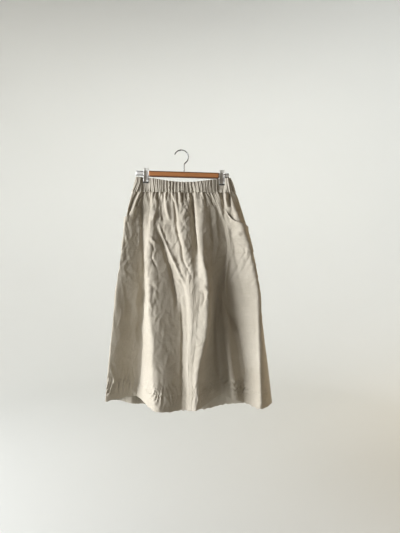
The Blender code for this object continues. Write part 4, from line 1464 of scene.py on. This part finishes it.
@dataclass(frozen=True)
class Pocket:
    """A patch on the front panel with a curved opening for the hand."""

    hand: Hand
    low: float
    high: float
    mouth: tuple[Pair, ...]
    top: float = 0.022
    bottom: float = 0.285
    rows: int = 64
    columns: int = 72
    gape: float = 5.0
    gape_reach: float = 26.0
    corner_ease: float = 0.12
    bottom_reach: float = 0.10
    bottom_ease: float = 0.15

    def top_edge(self, grid: ClothGrid) -> Array:
        """Find where the patch starts in each column, below the hand opening."""
        line = sorted(self.mouth)
        xs = np.array([place[0] for place in line], dtype=float)
        zs = np.array([place[1] for place in line], dtype=float)
        edge = np.full(len(grid.t), self.top)
        for i in range(len(grid.t)):
            limit = np.interp(grid.points[:, i, 0], xs, zs)
            above = grid.points[:, i, 2] > limit
            if above.any():
                edge[i] = max(self.top, grid.drop[np.nonzero(above)[0][-1]])
        kernel = np.array([1, 2, 3, 2, 1]) / 9.0
        padded = np.concatenate((edge[:1].repeat(2), edge, edge[-1:].repeat(2)))
        return np.convolve(padded, kernel, mode="valid")

    def build(self, skirt: Skirt, panel: ClothGrid, linen: Linen) -> None:
        """Build the patch and its sewing.

        Args:
            skirt: the skirt that it is sewn on.
            panel: the front panel's grid.
            linen: its finish.
        """
        t = np.linspace(self.low, self.high, self.columns)
        form = skirt.form
        grid = panel.between(t)
        top = self.top_edge(grid)
        share = np.linspace(0.0, 1.0, self.rows)
        rows = top[None, :] + share[:, None] * (self.bottom - top)[None, :]
        points, normals = grid.at(rows)
        length = form.cut_length
        opened = (top > self.top + 0.004).astype(float)
        below = (rows - top[None, :]) * length
        lip = np.exp(-(below / self.gape_reach) ** 1.5) * opened[None, :]
        edge_t = (t - t[0]) / (t[-1] - t[0])
        sewn = plateau(edge_t, 0.0, 1.0, self.corner_ease)
        lift = (skirt.panel_wall / 2 + skirt.pocket_lift + skirt.pocket_wall / 2
                + self.gape * lip * sewn[None, :]
                + 0.8 * sewn[None, :] * smooth((1.0 - share) / self.bottom_ease)[:, None])
        bottom_pull = bell(1.0 - share, self.bottom_reach)[:, None]
        pucker = np.cos(2 * np.pi * (t[None, :] * 150.0 + 3.0 * share[:, None]))
        lift = lift + 0.55 * bottom_pull * pucker * sewn[None, :]
        hem = np.where(below < 9.0, 0.5, 0.0) * opened[None, :]
        middle = points + normals * lift[..., None]
        across = grid_normals(middle)
        outer = middle + across * (skirt.pocket_wall / 2)
        inner = middle - across * (skirt.pocket_wall / 2 - 0.2 + hem * 0.4)[..., None]
        uvs = np.stack((np.broadcast_to(t[None, :] * form.cut_width * MM, rows.shape),
                        -rows * length * MM), axis=2)
        name = "pocket_" + self.hand.value
        mesh = wall_mesh(name + "_cloth", outer, inner, uvs, 0.4)
        piece = add_piece(name + "_cloth", mesh, linen.material())
        settle(piece, "pocket_linen", name)
        patch = ClothGrid(t, share, middle, across)
        face = skirt.pocket_wall / 2
        stitches = [skirt.sewing.row(patch, self.rows - 3, face),
                    skirt.sewing.row(patch, 3, face)]
        inner_column = 3 if self.hand is Hand.RIGHT else self.columns - 4
        down = middle[2:-2, inner_column] + across[2:-2, inner_column] * (face + 0.12)
        stitches.append(down)
        skirt.sewing.sew(name + "_stitches", stitches, "pocket_linen", 9)


POCKETS = (
    Pocket(Hand.LEFT, 0.006, 7 / 60,
           ((-136, -120), (-137, -150), (-146, -174), (-158, -198), (-172, -219),
            (-185, -231), (-230, -243))),
    Pocket(Hand.RIGHT, 52 / 60, 0.994,
           ((139, -120), (140, -155), (142, -178), (149, -197), (161, -225),
            (173, -236), (219, -262), (265, -275))),
)


# The hanger

def swept(points: list[Vector], radius: float, sides: int = 14) -> tuple[list, list]:
    """Sweep a round wire along points, with domed ends.

    Args:
        points: the centre line.
        radius: the wire's radius.
        sides: corners of its section.

    Returns:
        Vertices and faces.
    """
    first = (points[1] - points[0]).normalized()
    last = (points[-1] - points[-2]).normalized()
    line = [(points[0] - first * radius * math.sin(a), radius * math.cos(a), first)
            for a in (math.radians(72), math.radians(40))]
    for i, point in enumerate(points):
        ahead = points[min(i + 1, len(points) - 1)] - points[max(i - 1, 0)]
        line.append((point, radius, ahead.normalized()))
    line += [(points[-1] + last * radius * math.sin(a), radius * math.cos(a), last)
             for a in (math.radians(40), math.radians(72))]
    side = Vector((0, 1, 0)) if abs(first.y) < 0.9 else Vector((1, 0, 0))
    verts = []
    for centre, size, heading in line:
        side = (side - heading * side.dot(heading)).normalized()
        up = heading.cross(side)
        for k in range(sides):
            angle = 2 * math.pi * k / sides
            verts.append(centre + side * math.cos(angle) * size + up * math.sin(angle) * size)
    faces = ring_faces(len(line), sides)
    start, end = len(verts), len(verts) + 1
    verts += [points[0] - first * radius, points[-1] + last * radius]
    tail = (len(line) - 1) * sides
    for k in range(sides):
        faces.append((start, (k + 1) % sides, k))
        faces.append((end, tail + k, tail + (k + 1) % sides))
    return verts, faces


def lofted(stations: list[tuple[float, float]], half_y: float, half_z: float,
           corner: float, steps: int = 5) -> tuple[list, list]:
    """Loft a rounded rectangle along X.

    Args:
        stations: pairs of x and how far the section draws in there.
        half_y: half the thickness.
        half_z: half the height.
        corner: the corners' radius.
        steps: segments of a corner.

    Returns:
        Vertices and faces, centred on the X axis.
    """
    verts = []
    for x, inset in stations:
        reach = max(corner - inset, 0.05)
        for quarter in range(4):
            aim = math.pi / 2 * quarter + 0.1
            mid_y = math.copysign(half_y - corner, math.cos(aim))
            mid_z = math.copysign(half_z - corner, math.sin(aim))
            for k in range(steps + 1):
                angle = math.pi / 2 * (quarter + k / steps)
                verts.append(Vector((x, mid_y + reach * math.cos(angle),
                                     mid_z + reach * math.sin(angle))))
    ring = 4 * (steps + 1)
    faces = ring_faces(len(stations), ring)
    faces.append(tuple(reversed(range(ring))))
    tail = (len(stations) - 1) * ring
    faces.append(tuple(range(tail, tail + ring)))
    return verts, faces


def closed_mesh(name: str, turn: Matrix, shapes: list, split: int = 0) -> bpy.types.Mesh:
    """Join closed shapes into one mesh whose faces point outwards.

    Args:
        name: the mesh's name.
        turn: carries the hanger's own frame into the model's.
        shapes: pairs of a shape (vertices and faces) and its place.
        split: how many times the faces are split.

    Returns:
        The finished mesh, in metres.
    """
    verts, faces = [], []
    for (points, rings), place in shapes:
        start = len(verts)
        verts += [turn @ (point + Vector(place)) for point in points]
        faces += [tuple(corner + start for corner in ring) for ring in rings]
    mesh = mesh_from(name, np.array([tuple(v) for v in verts]), faces)
    build = bmesh.new()
    build.from_mesh(mesh)
    bmesh.ops.remove_doubles(build, verts=build.verts, dist=0.00002)
    if split:
        bmesh.ops.subdivide_edges(build, edges=build.edges, cuts=split, use_grid_fill=True,
                                  smooth=0.0)
    bmesh.ops.recalc_face_normals(build, faces=build.faces)
    build.to_mesh(mesh)
    build.free()
    mesh.shade_smooth()
    mesh.set_sharp_from_angle(angle=METAL_SHARP)
    return mesh


def ring_plate(path: list[Pair], half_width: float, flange: float, wall: float,
               face: int) -> tuple[list, list]:
    """Fold a sheet-metal plate along a side path, with rolled long edges.

    Args:
        path: places (y, z) of the plate's middle, from the tab down.
        half_width: half its width.
        flange: how far the long edges roll towards the bar.
        wall: the sheet's thickness.
        face: -1 or 1, the side of the bar that it is on.

    Returns:
        Vertices and faces of the closed sheet.
    """
    profile = [(-1.0, 1.0), (-0.97, 0.45), (-0.9, 0.1), (-0.75, 0.0), (-0.42, 0.0),
               (-0.30, -0.22), (0.0, -0.30), (0.30, -0.22), (0.42, 0.0), (0.75, 0.0),
               (0.9, 0.1), (0.97, 0.45), (1.0, 1.0)]
    rows = len(path)
    count = len(profile)
    mid = np.zeros((rows, count, 3))
    for k, (y, z) in enumerate(path):
        ends = min(k, rows - 1 - k)
        narrow = 1.0 if ends > 1 else (0.94, 0.985)[ends]
        for i, (across, roll) in enumerate(profile):
            inward = roll * flange if ends > 0 else 0.3 * roll * flange
            mid[k, i] = (across * half_width * narrow, face * (y - inward), z)
    down, over = np.gradient(mid, axis=0), np.gradient(mid, axis=1)
    normal = np.cross(down, over)
    normal /= np.maximum(np.linalg.norm(normal, axis=2, keepdims=True), 1e-9)
    verts = [Vector(p) for p in (mid + normal * wall / 2).reshape(-1, 3)]
    verts += [Vector(p) for p in (mid - normal * wall / 2).reshape(-1, 3)]
    size = rows * count
    faces = []
    for k in range(rows - 1):
        for i in range(count - 1):
            a = k * count + i
            faces.append((a, a + 1, a + 1 + count, a + count))
            faces.append((size + a + count, size + a + 1 + count, size + a + 1, size + a))
    border = [(i, i + 1) for i in range(count - 1)]
    border += [((k + 1) * count - 1, (k + 2) * count - 1) for k in range(rows - 1)]
    border += [(size - 1 - i, size - 2 - i) for i in range(count - 1)]
    border += [((rows - 1 - k) * count, (rows - 2 - k) * count) for k in range(rows - 1)]
    faces += [(a, size + a, size + b, b) for a, b in border]
    return verts, faces


@dataclass
class ClipHanger:
    """The wooden bar, its wire hook, steel end bars and two spring clips."""

    tilt: float = math.radians(1.7)
    wire: float = 4.0
    hook_radius: float = 24.0
    tip_angle: float = math.radians(158)
    end_angle: float = math.radians(-52)
    neck_radius: float = 11.0
    stem_depth: float = 12.0
    bar_length: float = 238.0
    bar_height: float = 20.0
    bar_thickness: float = 12.0
    bar_z: float = -82.1
    bar_corner: float = 3.0
    end_height: float = 15.0
    end_thickness: float = 5.0
    end_corner: float = 1.9
    end_z: float = -81.0
    end_insert: float = 14.0
    clip_width: float = 16.0
    sheet: float = 1.0
    flange: float = 1.3
    pad_face: float = 2.7
    pad_thickness: float = 1.3
    shoe_depth: float = 2.6
    shoe_height: float = 3.6
    pad_top: float = -106.0
    pad_bottom: float = -114.2
    spring_radius: float = 2.8
    spring_wire: float = 0.55
    coil_inset: float = 3.2
    pin_radius: float = 0.9
    gap: float = 0.3
    end_reach: dict[Hand, float] = field(default_factory=lambda: {Hand.LEFT: -152.5,
                                                                  Hand.RIGHT: 164.0})
    clip_x: dict[Hand, float] = field(default_factory=lambda: {Hand.LEFT: -117.6,
                                                               Hand.RIGHT: 139.8})
    plate_line: tuple[Pair, ...] = ((-8.9, -63.6), (-8.5, -64.6), (-7.5, -66.0), (-6.2, -67.7),
                                    (-4.6, -70.2), (-3.6, -72.2), (-3.3, -75.0), (-3.3, -79.0),
                                    (-3.3, -84.0), (-3.3, -88.5), (-3.6, -92.0), (-4.2, -96.5),
                                    (-4.7, -100.5), (-4.9, -104.0), (-4.9, -109.0),
                                    (-4.8, -112.4), (-4.5, -113.6))

    @property
    def turn(self) -> Matrix:
        """Return the turn from the hanger's own frame to the model's."""
        return Matrix.Rotation(self.tilt, 4, "Y")

    def make(self, name: str, shapes: list, finish: bpy.types.Material, slot: str, node: str,
             split: int = 0) -> None:
        """Make one piece of the hanger.

        Args:
            name: the piece's name.
            shapes: pairs of a closed shape and its place in the hanger's own frame.
            finish: its material.
            slot: not used.
            node: the solid that it stands for.
            split: how many times its faces are split.
        """
        mesh = closed_mesh(name, self.turn, shapes, split)
        settle(add_piece(name, mesh, finish), slot, node)

    def hook_line(self) -> list[Vector]:
        """Return the wire's centre line from its tip to its foot in the wood."""
        centre = self.wire / 2 - self.hook_radius
        points = []
        steps = 64
        for i in range(steps + 1):
            angle = self.tip_angle + (self.end_angle - self.tip_angle) * i / steps
            points.append(Vector((self.hook_radius * math.cos(angle), 0.0,
                                  centre + self.hook_radius * math.sin(angle))))
        heading = Vector((math.sin(self.end_angle), 0.0, -math.cos(self.end_angle)))
        side = Vector((-heading.z, 0.0, heading.x))
        neck = points[-1] + side * self.neck_radius
        for i in range(1, 15):
            angle = -self.end_angle * i / 14
            arm = -side * math.cos(angle) + heading * math.sin(angle)
            points.append(neck + arm * self.neck_radius)
        stem_x = points[-1].x
        top = self.bar_z + self.bar_height / 2
        foot = top - self.stem_depth + self.gap + self.wire / 2
        start = points[-1].z
        for i in range(1, 7):
            points.append(Vector((stem_x, 0.0, start + (foot - start) * i / 6)))
        return points

    def build_hook(self, steel: bpy.types.Material) -> float:
        """Build the wire hook."""
        line = self.hook_line()
        self.make("hook_wire", [(swept(line, self.wire / 2, 18), (0, 0, 0))], steel,
                  "bright_steel", "hanger_hook")
        return line[-1].x

    def build_bar(self, stem_x: float, wood: StainedWood) -> None:
        """Build the wooden bar with its eased edges.

        Args:
            stem_x: the middle of the bar.
            wood: its finish.
        """
        half = self.bar_length / 2
        ends = [(0.0, 2.1), (0.25, 1.5), (0.7, 0.9), (1.3, 0.4), (2.0, 0.1), (2.8, 0.0)]
        stations = [(-half + x, inset) for x, inset in ends]
        stations += [(-half + 2.8 + (self.bar_length - 5.6) * i / 24, 0.03 * math.sin(i * 1.7))
                     for i in range(1, 24)]
        stations += [(half - x, inset) for x, inset in reversed(ends)]
        bar = lofted(stations, self.bar_thickness / 2, self.bar_height / 2, self.bar_corner, 6)
        self.make("wooden_bar", [(bar, (stem_x, 0.0, self.bar_z))], wood.material(), "wood",
                  "hanger_bar")

    def build_end(self, hand: Hand, stem_x: float, steel: bpy.types.Material) -> None:
        """Build one steel end bar.

        Args:
            hand: its side.
            stem_x: the middle of the wooden bar.
            steel: its finish.
        """
        sign = -1 if hand is Hand.LEFT else 1
        inner = stem_x + sign * (self.bar_length / 2 - self.end_insert + self.gap)
        outer = self.end_reach[hand]
        low, high = min(inner, outer), max(inner, outer)
        ends = [(0.0, 1.1), (0.2, 0.6), (0.6, 0.2), (1.2, 0.0)]
        stations = [(low + x, inset) for x, inset in ends]
        stations += [(low + (high - low) * i / 8, 0.0) for i in range(1, 8)]
        stations += [(high - x, inset) for x, inset in reversed(ends)]
        bar = lofted(stations, self.end_thickness / 2, self.end_height / 2, self.end_corner, 5)
        self.make("end_bar_" + hand.value, [(bar, (0.0, 0.0, self.end_z))], steel,
                  "bright_steel", "hanger_end_" + hand.value)

    def build_clip(self, hand: Hand, plate_steel: bpy.types.Material,
                   spring_steel: bpy.types.Material, rubber: bpy.types.Material) -> None:
        """Build one clip: two plates, the coiled spring on its pin and two pads.

        Args:
            hand: its side.
            plate_steel: the plates' finish.
            spring_steel: the spring's finish.
            rubber: the pads' finish.
        """
        place = (self.clip_x[hand], 0.0, 0.0)
        for label, face in (("front", 1), ("back", -1)):
            plate = ring_plate(list(self.plate_line), self.clip_width / 2, self.flange,
                               self.sheet, face)
            node = "clip_%s_%s" % (hand.value, label)
            self.make(node + "_plate", [(plate, place)], plate_steel, "clip_steel", node, 1)
            node = "clip_%s_pad_%s" % (hand.value, label)
            self.make(node + "_rubber", [(self.ribbed_pad(face), place)], rubber, "rubber", node)
        self.build_spring(hand, spring_steel)

    def ribbed_pad(self, face: int) -> tuple[list, list]:
        """Return a shoe round the plate's end, whose gripping face has level ribs."""
        outer = self.pad_face + self.pad_thickness + self.shoe_depth
        back = outer - self.shoe_depth
        shoe_top = self.pad_bottom + self.shoe_height
        profile = [(outer, shoe_top - 0.3), (outer - 0.3, shoe_top), (back, shoe_top + 0.2),
                   (back, self.pad_top - 0.3), (back - 0.3, self.pad_top)]
        ribs = 6
        pitch = (self.pad_top - self.pad_bottom) / ribs
        for k in range(ribs):
            z = self.pad_top - k * pitch
            profile += [(self.pad_face + 0.35, z - 0.05 * pitch),
                        (self.pad_face, z - 0.35 * pitch),
                        (self.pad_face, z - 0.65 * pitch),
                        (self.pad_face + 0.35, z - 0.95 * pitch)]
        profile += [(outer - 0.3, self.pad_bottom), (outer, self.pad_bottom + 0.3)]
        half = (self.clip_width + 1.0) / 2
        verts = []
        sections = ((-half, 0.9), (-half + 0.35, 1.0), (half - 0.35, 1.0), (half, 0.9))
        mid_y = (self.pad_face + outer) / 2
        mid_z = (self.pad_top + self.pad_bottom) / 2
        for x, size in sections:
            verts += [Vector((x, -face * (mid_y + (y - mid_y) * size),
                              mid_z + (z - mid_z) * size)) for y, z in profile]
        count = len(profile)
        faces = ring_faces(len(sections), count)
        faces.append(tuple(range(count)))
        tail = (len(sections) - 1) * count
        faces.append(tuple(reversed(range(tail, tail + count))))
        return verts, faces

    def build_spring(self, hand: Hand, steel: bpy.types.Material) -> None:
        """Build the coil and the pin through it.

        Args:
            hand: its side.
            steel: its finish.
        """
        top = self.end_z + self.end_height / 2
        centre = Vector((self.clip_x[hand], 0.0, top + self.gap + self.spring_radius))
        radius = self.spring_radius - self.spring_wire
        turns, steps = 6, 18
        half = self.clip_width / 2 - self.coil_inset
        coil = []
        for i in range(turns * steps + 1):
            angle = 2 * math.pi * i / steps
            coil.append(centre + Vector((-half + 2 * half * i / (turns * steps),
                                         radius * math.cos(angle), radius * math.sin(angle))))
        pin = [centre + Vector((self.clip_width * share, 0.0, 0.0))
               for share in (-0.52, -0.2, 0.2, 0.52)]
        node = "clip_%s_spring" % hand.value
        shapes = [(swept(coil, self.spring_wire, 8), (0, 0, 0)),
                  (swept(pin, self.pin_radius, 12), (0, 0, 0))]
        self.make(node + "_coil", shapes, steel, "spring_steel", node)

    def build(self) -> None:
        """Build every piece of the hanger."""
        bright = Steel("bright_steel", (0.34, 0.34, 0.33), 0.20, 0.36).material()
        # the end bars take painted shade along their upper and lower edges
        satin = Steel("end_bar_steel", (0.93, 0.92, 0.89), 0.46, 0.62, (60, 900, 900),
                      ShadedRim(self.end_z, self.end_height / 2, self.tilt)).material()
        plate = Steel("clip_plate_steel", (0.66, 0.65, 0.62), 0.26, 0.44,
                      (500, 500, 60)).material()
        spring = Steel("spring_wire_steel", (0.30, 0.29, 0.28), 0.3, 0.5).material()
        rubber = Rubber("pad_rubber", (0.018, 0.018, 0.017)).material()
        # the third wood tone is near black, for the pores and for the painted shade on the bar's edges
        wood = StainedWood("stained_wood", (0.46, 0.195, 0.068), (0.30, 0.112, 0.034),
                           (0.075, 0.026, 0.009),
                           ShadedRim(self.bar_z, self.bar_height / 2, self.tilt))
        stem_x = self.build_hook(bright)
        self.build_bar(stem_x, wood)
        for hand in Hand:
            self.build_end(hand, stem_x, satin)
            self.build_clip(hand, plate, spring, rubber)


# The studio

@dataclass
class Studio:
    """The camera, the soft window light and the pale floor with its sweep."""

    camera_place: tuple[float, float, float] = (0.0629, -1.410, -0.394)
    lens: float = 28.0
    sensor: float = 36.0
    floor_z: float = -1.34
    sweep_radius: float = 3.4
    sweep_curve: float = 1.5
    wall_top: float = 3.6
    key_angle: float = math.radians(67)
    key_distance: float = 3.0
    key_power: float = 187.0
    fill_power: float = 26.0
    back_power: float = 30.0
    card_power: float = 6.0
    key_colour: Colour = (0.927, 0.956, 1.0)
    fill_colour: Colour = (1.0, 0.74, 0.42)
    back_colour: Colour = (1.0, 1.0, 0.97)
    card_colour: Colour = (1.0, 0.95, 0.86)
    room_power: float = 0.08
    room_tone: Colour = (0.90, 0.64, 0.38)
    seen_tone: Colour = (0.74, 0.75, 0.72)

    def place_camera(self) -> None:
        """Create the camera of the photo's view."""
        data = bpy.data.cameras.new("photo_camera")
        data.lens = self.lens
        data.sensor_width = self.sensor
        data.sensor_fit = "AUTO"
        data.clip_end = 40.0
        camera = bpy.data.objects.new("photo_camera", data)
        camera.location = self.camera_place
        camera.rotation_euler = (math.radians(90), 0.0, 0.0)
        bpy.context.scene.collection.objects.link(camera)
        bpy.context.scene.camera = camera

    def light(self, name: str, place: Vector, target: Vector, size: Pair, power: float,
              colour: Colour) -> None:
        """Add an area light that faces a point."""
        data = bpy.data.lights.new(name, "AREA")
        data.shape = "RECTANGLE"
        data.size, data.size_y = size
        data.energy = power
        data.color = colour
        lamp = bpy.data.objects.new(name, data)
        lamp.location = place
        lamp.rotation_euler = (target - place).to_track_quat("-Z", "Y").to_euler()
        bpy.context.scene.collection.objects.link(lamp)

    def build(self) -> None:
        """Build the floor, the lights and the surrounding tone."""
        self.build_floor()
        heart = Vector((0.03, 0.0, -0.48))
        toward = Vector((-math.sin(self.key_angle), -math.cos(self.key_angle), 0.10))
        self.light("window", heart + toward * self.key_distance, heart, (1.7, 2.2),
                   self.key_power, self.key_colour)
        self.light("wall_bounce", heart + Vector((2.7, 0.6, 0.1)), heart, (2.0, 2.0),
                   self.fill_power, self.fill_colour)
        self.light("front_card", Vector((0.4, -4.2, 0.5)), heart, (3.0, 3.0),
                   self.card_power, self.card_colour)
        self.light("sweep_light", Vector((0.2, 1.0, 1.9)), Vector((0.4, 3.2, -0.2)), (2.6, 1.0),
                   self.back_power, self.back_colour)
        world = bpy.data.worlds.new("soft_room")
        world.use_nodes = True
        tree = world.node_tree
        ground = tree.nodes["Background"]
        ground.inputs[0].default_value = (*self.room_tone, 1.0)
        ground.inputs[1].default_value = self.room_power
        pale = add_node(tree, "ShaderNodeBackground", {0: (*self.seen_tone, 1.0)}).outputs[0]
        seen = add_node(tree, "ShaderNodeLightPath").outputs["Is Camera Ray"]
        either = add_node(tree, "ShaderNodeMixShader", {0: seen, 1: ground.outputs[0], 2: pale})
        tree.links.new(either.outputs[0], tree.nodes["World Output"].inputs["Surface"])
        bpy.context.scene.world = world
        bpy.context.scene.view_settings.view_transform = "Standard"

    def build_floor(self) -> None:
        """Turn the sweep's profile about the vertical, behind the object."""
        profile = [(0.02, self.floor_z), (1.2, self.floor_z),
                   (self.sweep_radius - self.sweep_curve, self.floor_z)]
        centre = (self.sweep_radius - self.sweep_curve, self.floor_z + self.sweep_curve)
        bends = 16
        for i in range(1, bends + 1):
            angle = math.pi / 2 * i / bends
            profile.append((centre[0] + self.sweep_curve * math.sin(angle),
                            centre[1] - self.sweep_curve * math.cos(angle)))
        profile.append((self.sweep_radius, self.wall_top))
        verts, faces = [], []
        steps = 72
        for k in range(steps):
            angle = 2 * math.pi * k / steps
            behind = smooth(np.array([(math.sin(angle) + 0.35) / 0.5]))[0]
            for radius, z in profile:
                height = self.floor_z + (z - self.floor_z) * behind
                verts.append((radius * math.cos(angle), radius * math.sin(angle), height))
        count = len(profile)
        for k in range(steps):
            for i in range(count - 1):
                a, b = k * count + i, ((k + 1) % steps) * count + i
                faces.append((a, a + 1, b + 1, b))
        faces.append(tuple(k * count for k in range(steps)))
        mesh = bpy.data.meshes.new("pale_floor")
        mesh.from_pydata(verts, [], faces)
        mesh.shade_smooth()
        plaster = Plaster("pale_plaster", (0.735, 0.745, 0.72))
        add_piece("pale_floor", mesh, plaster.material())


def main() -> None:
    """Build the studio, the hanger and the skirt in order."""
    logging.basicConfig(level=logging.INFO, format="%(message)s")
    studio = Studio()
    studio.place_camera()
    studio.build()
    hanger = ClipHanger()
    hanger.build()
    thread = Thread("linen_thread", (0.66, 0.61, 0.50)).material()
    lines = tuple(x * math.cos(hanger.tilt) + hanger.pad_bottom * math.sin(hanger.tilt)
                  for x in hanger.clip_x.values())
    skirt = Skirt(SkirtForm(), Sewing(StitchTree(thread), thread), lines)
    panel_tones = ((0.50, 0.455, 0.375), (0.43, 0.383, 0.306))
    skirt.build({
        "front": Linen("front_linen", *panel_tones, 0.0),
        "back": Linen("back_linen", *panel_tones, 3.1),
        "casing": Linen("casing_linen", (0.47, 0.429, 0.359), (0.39, 0.350, 0.284), 5.7, 0.4),
        "pocket": Linen("pocket_linen", (0.51, 0.464, 0.384), (0.44, 0.393, 0.314), 8.3),
    })


if __name__ == "__main__":
    main()
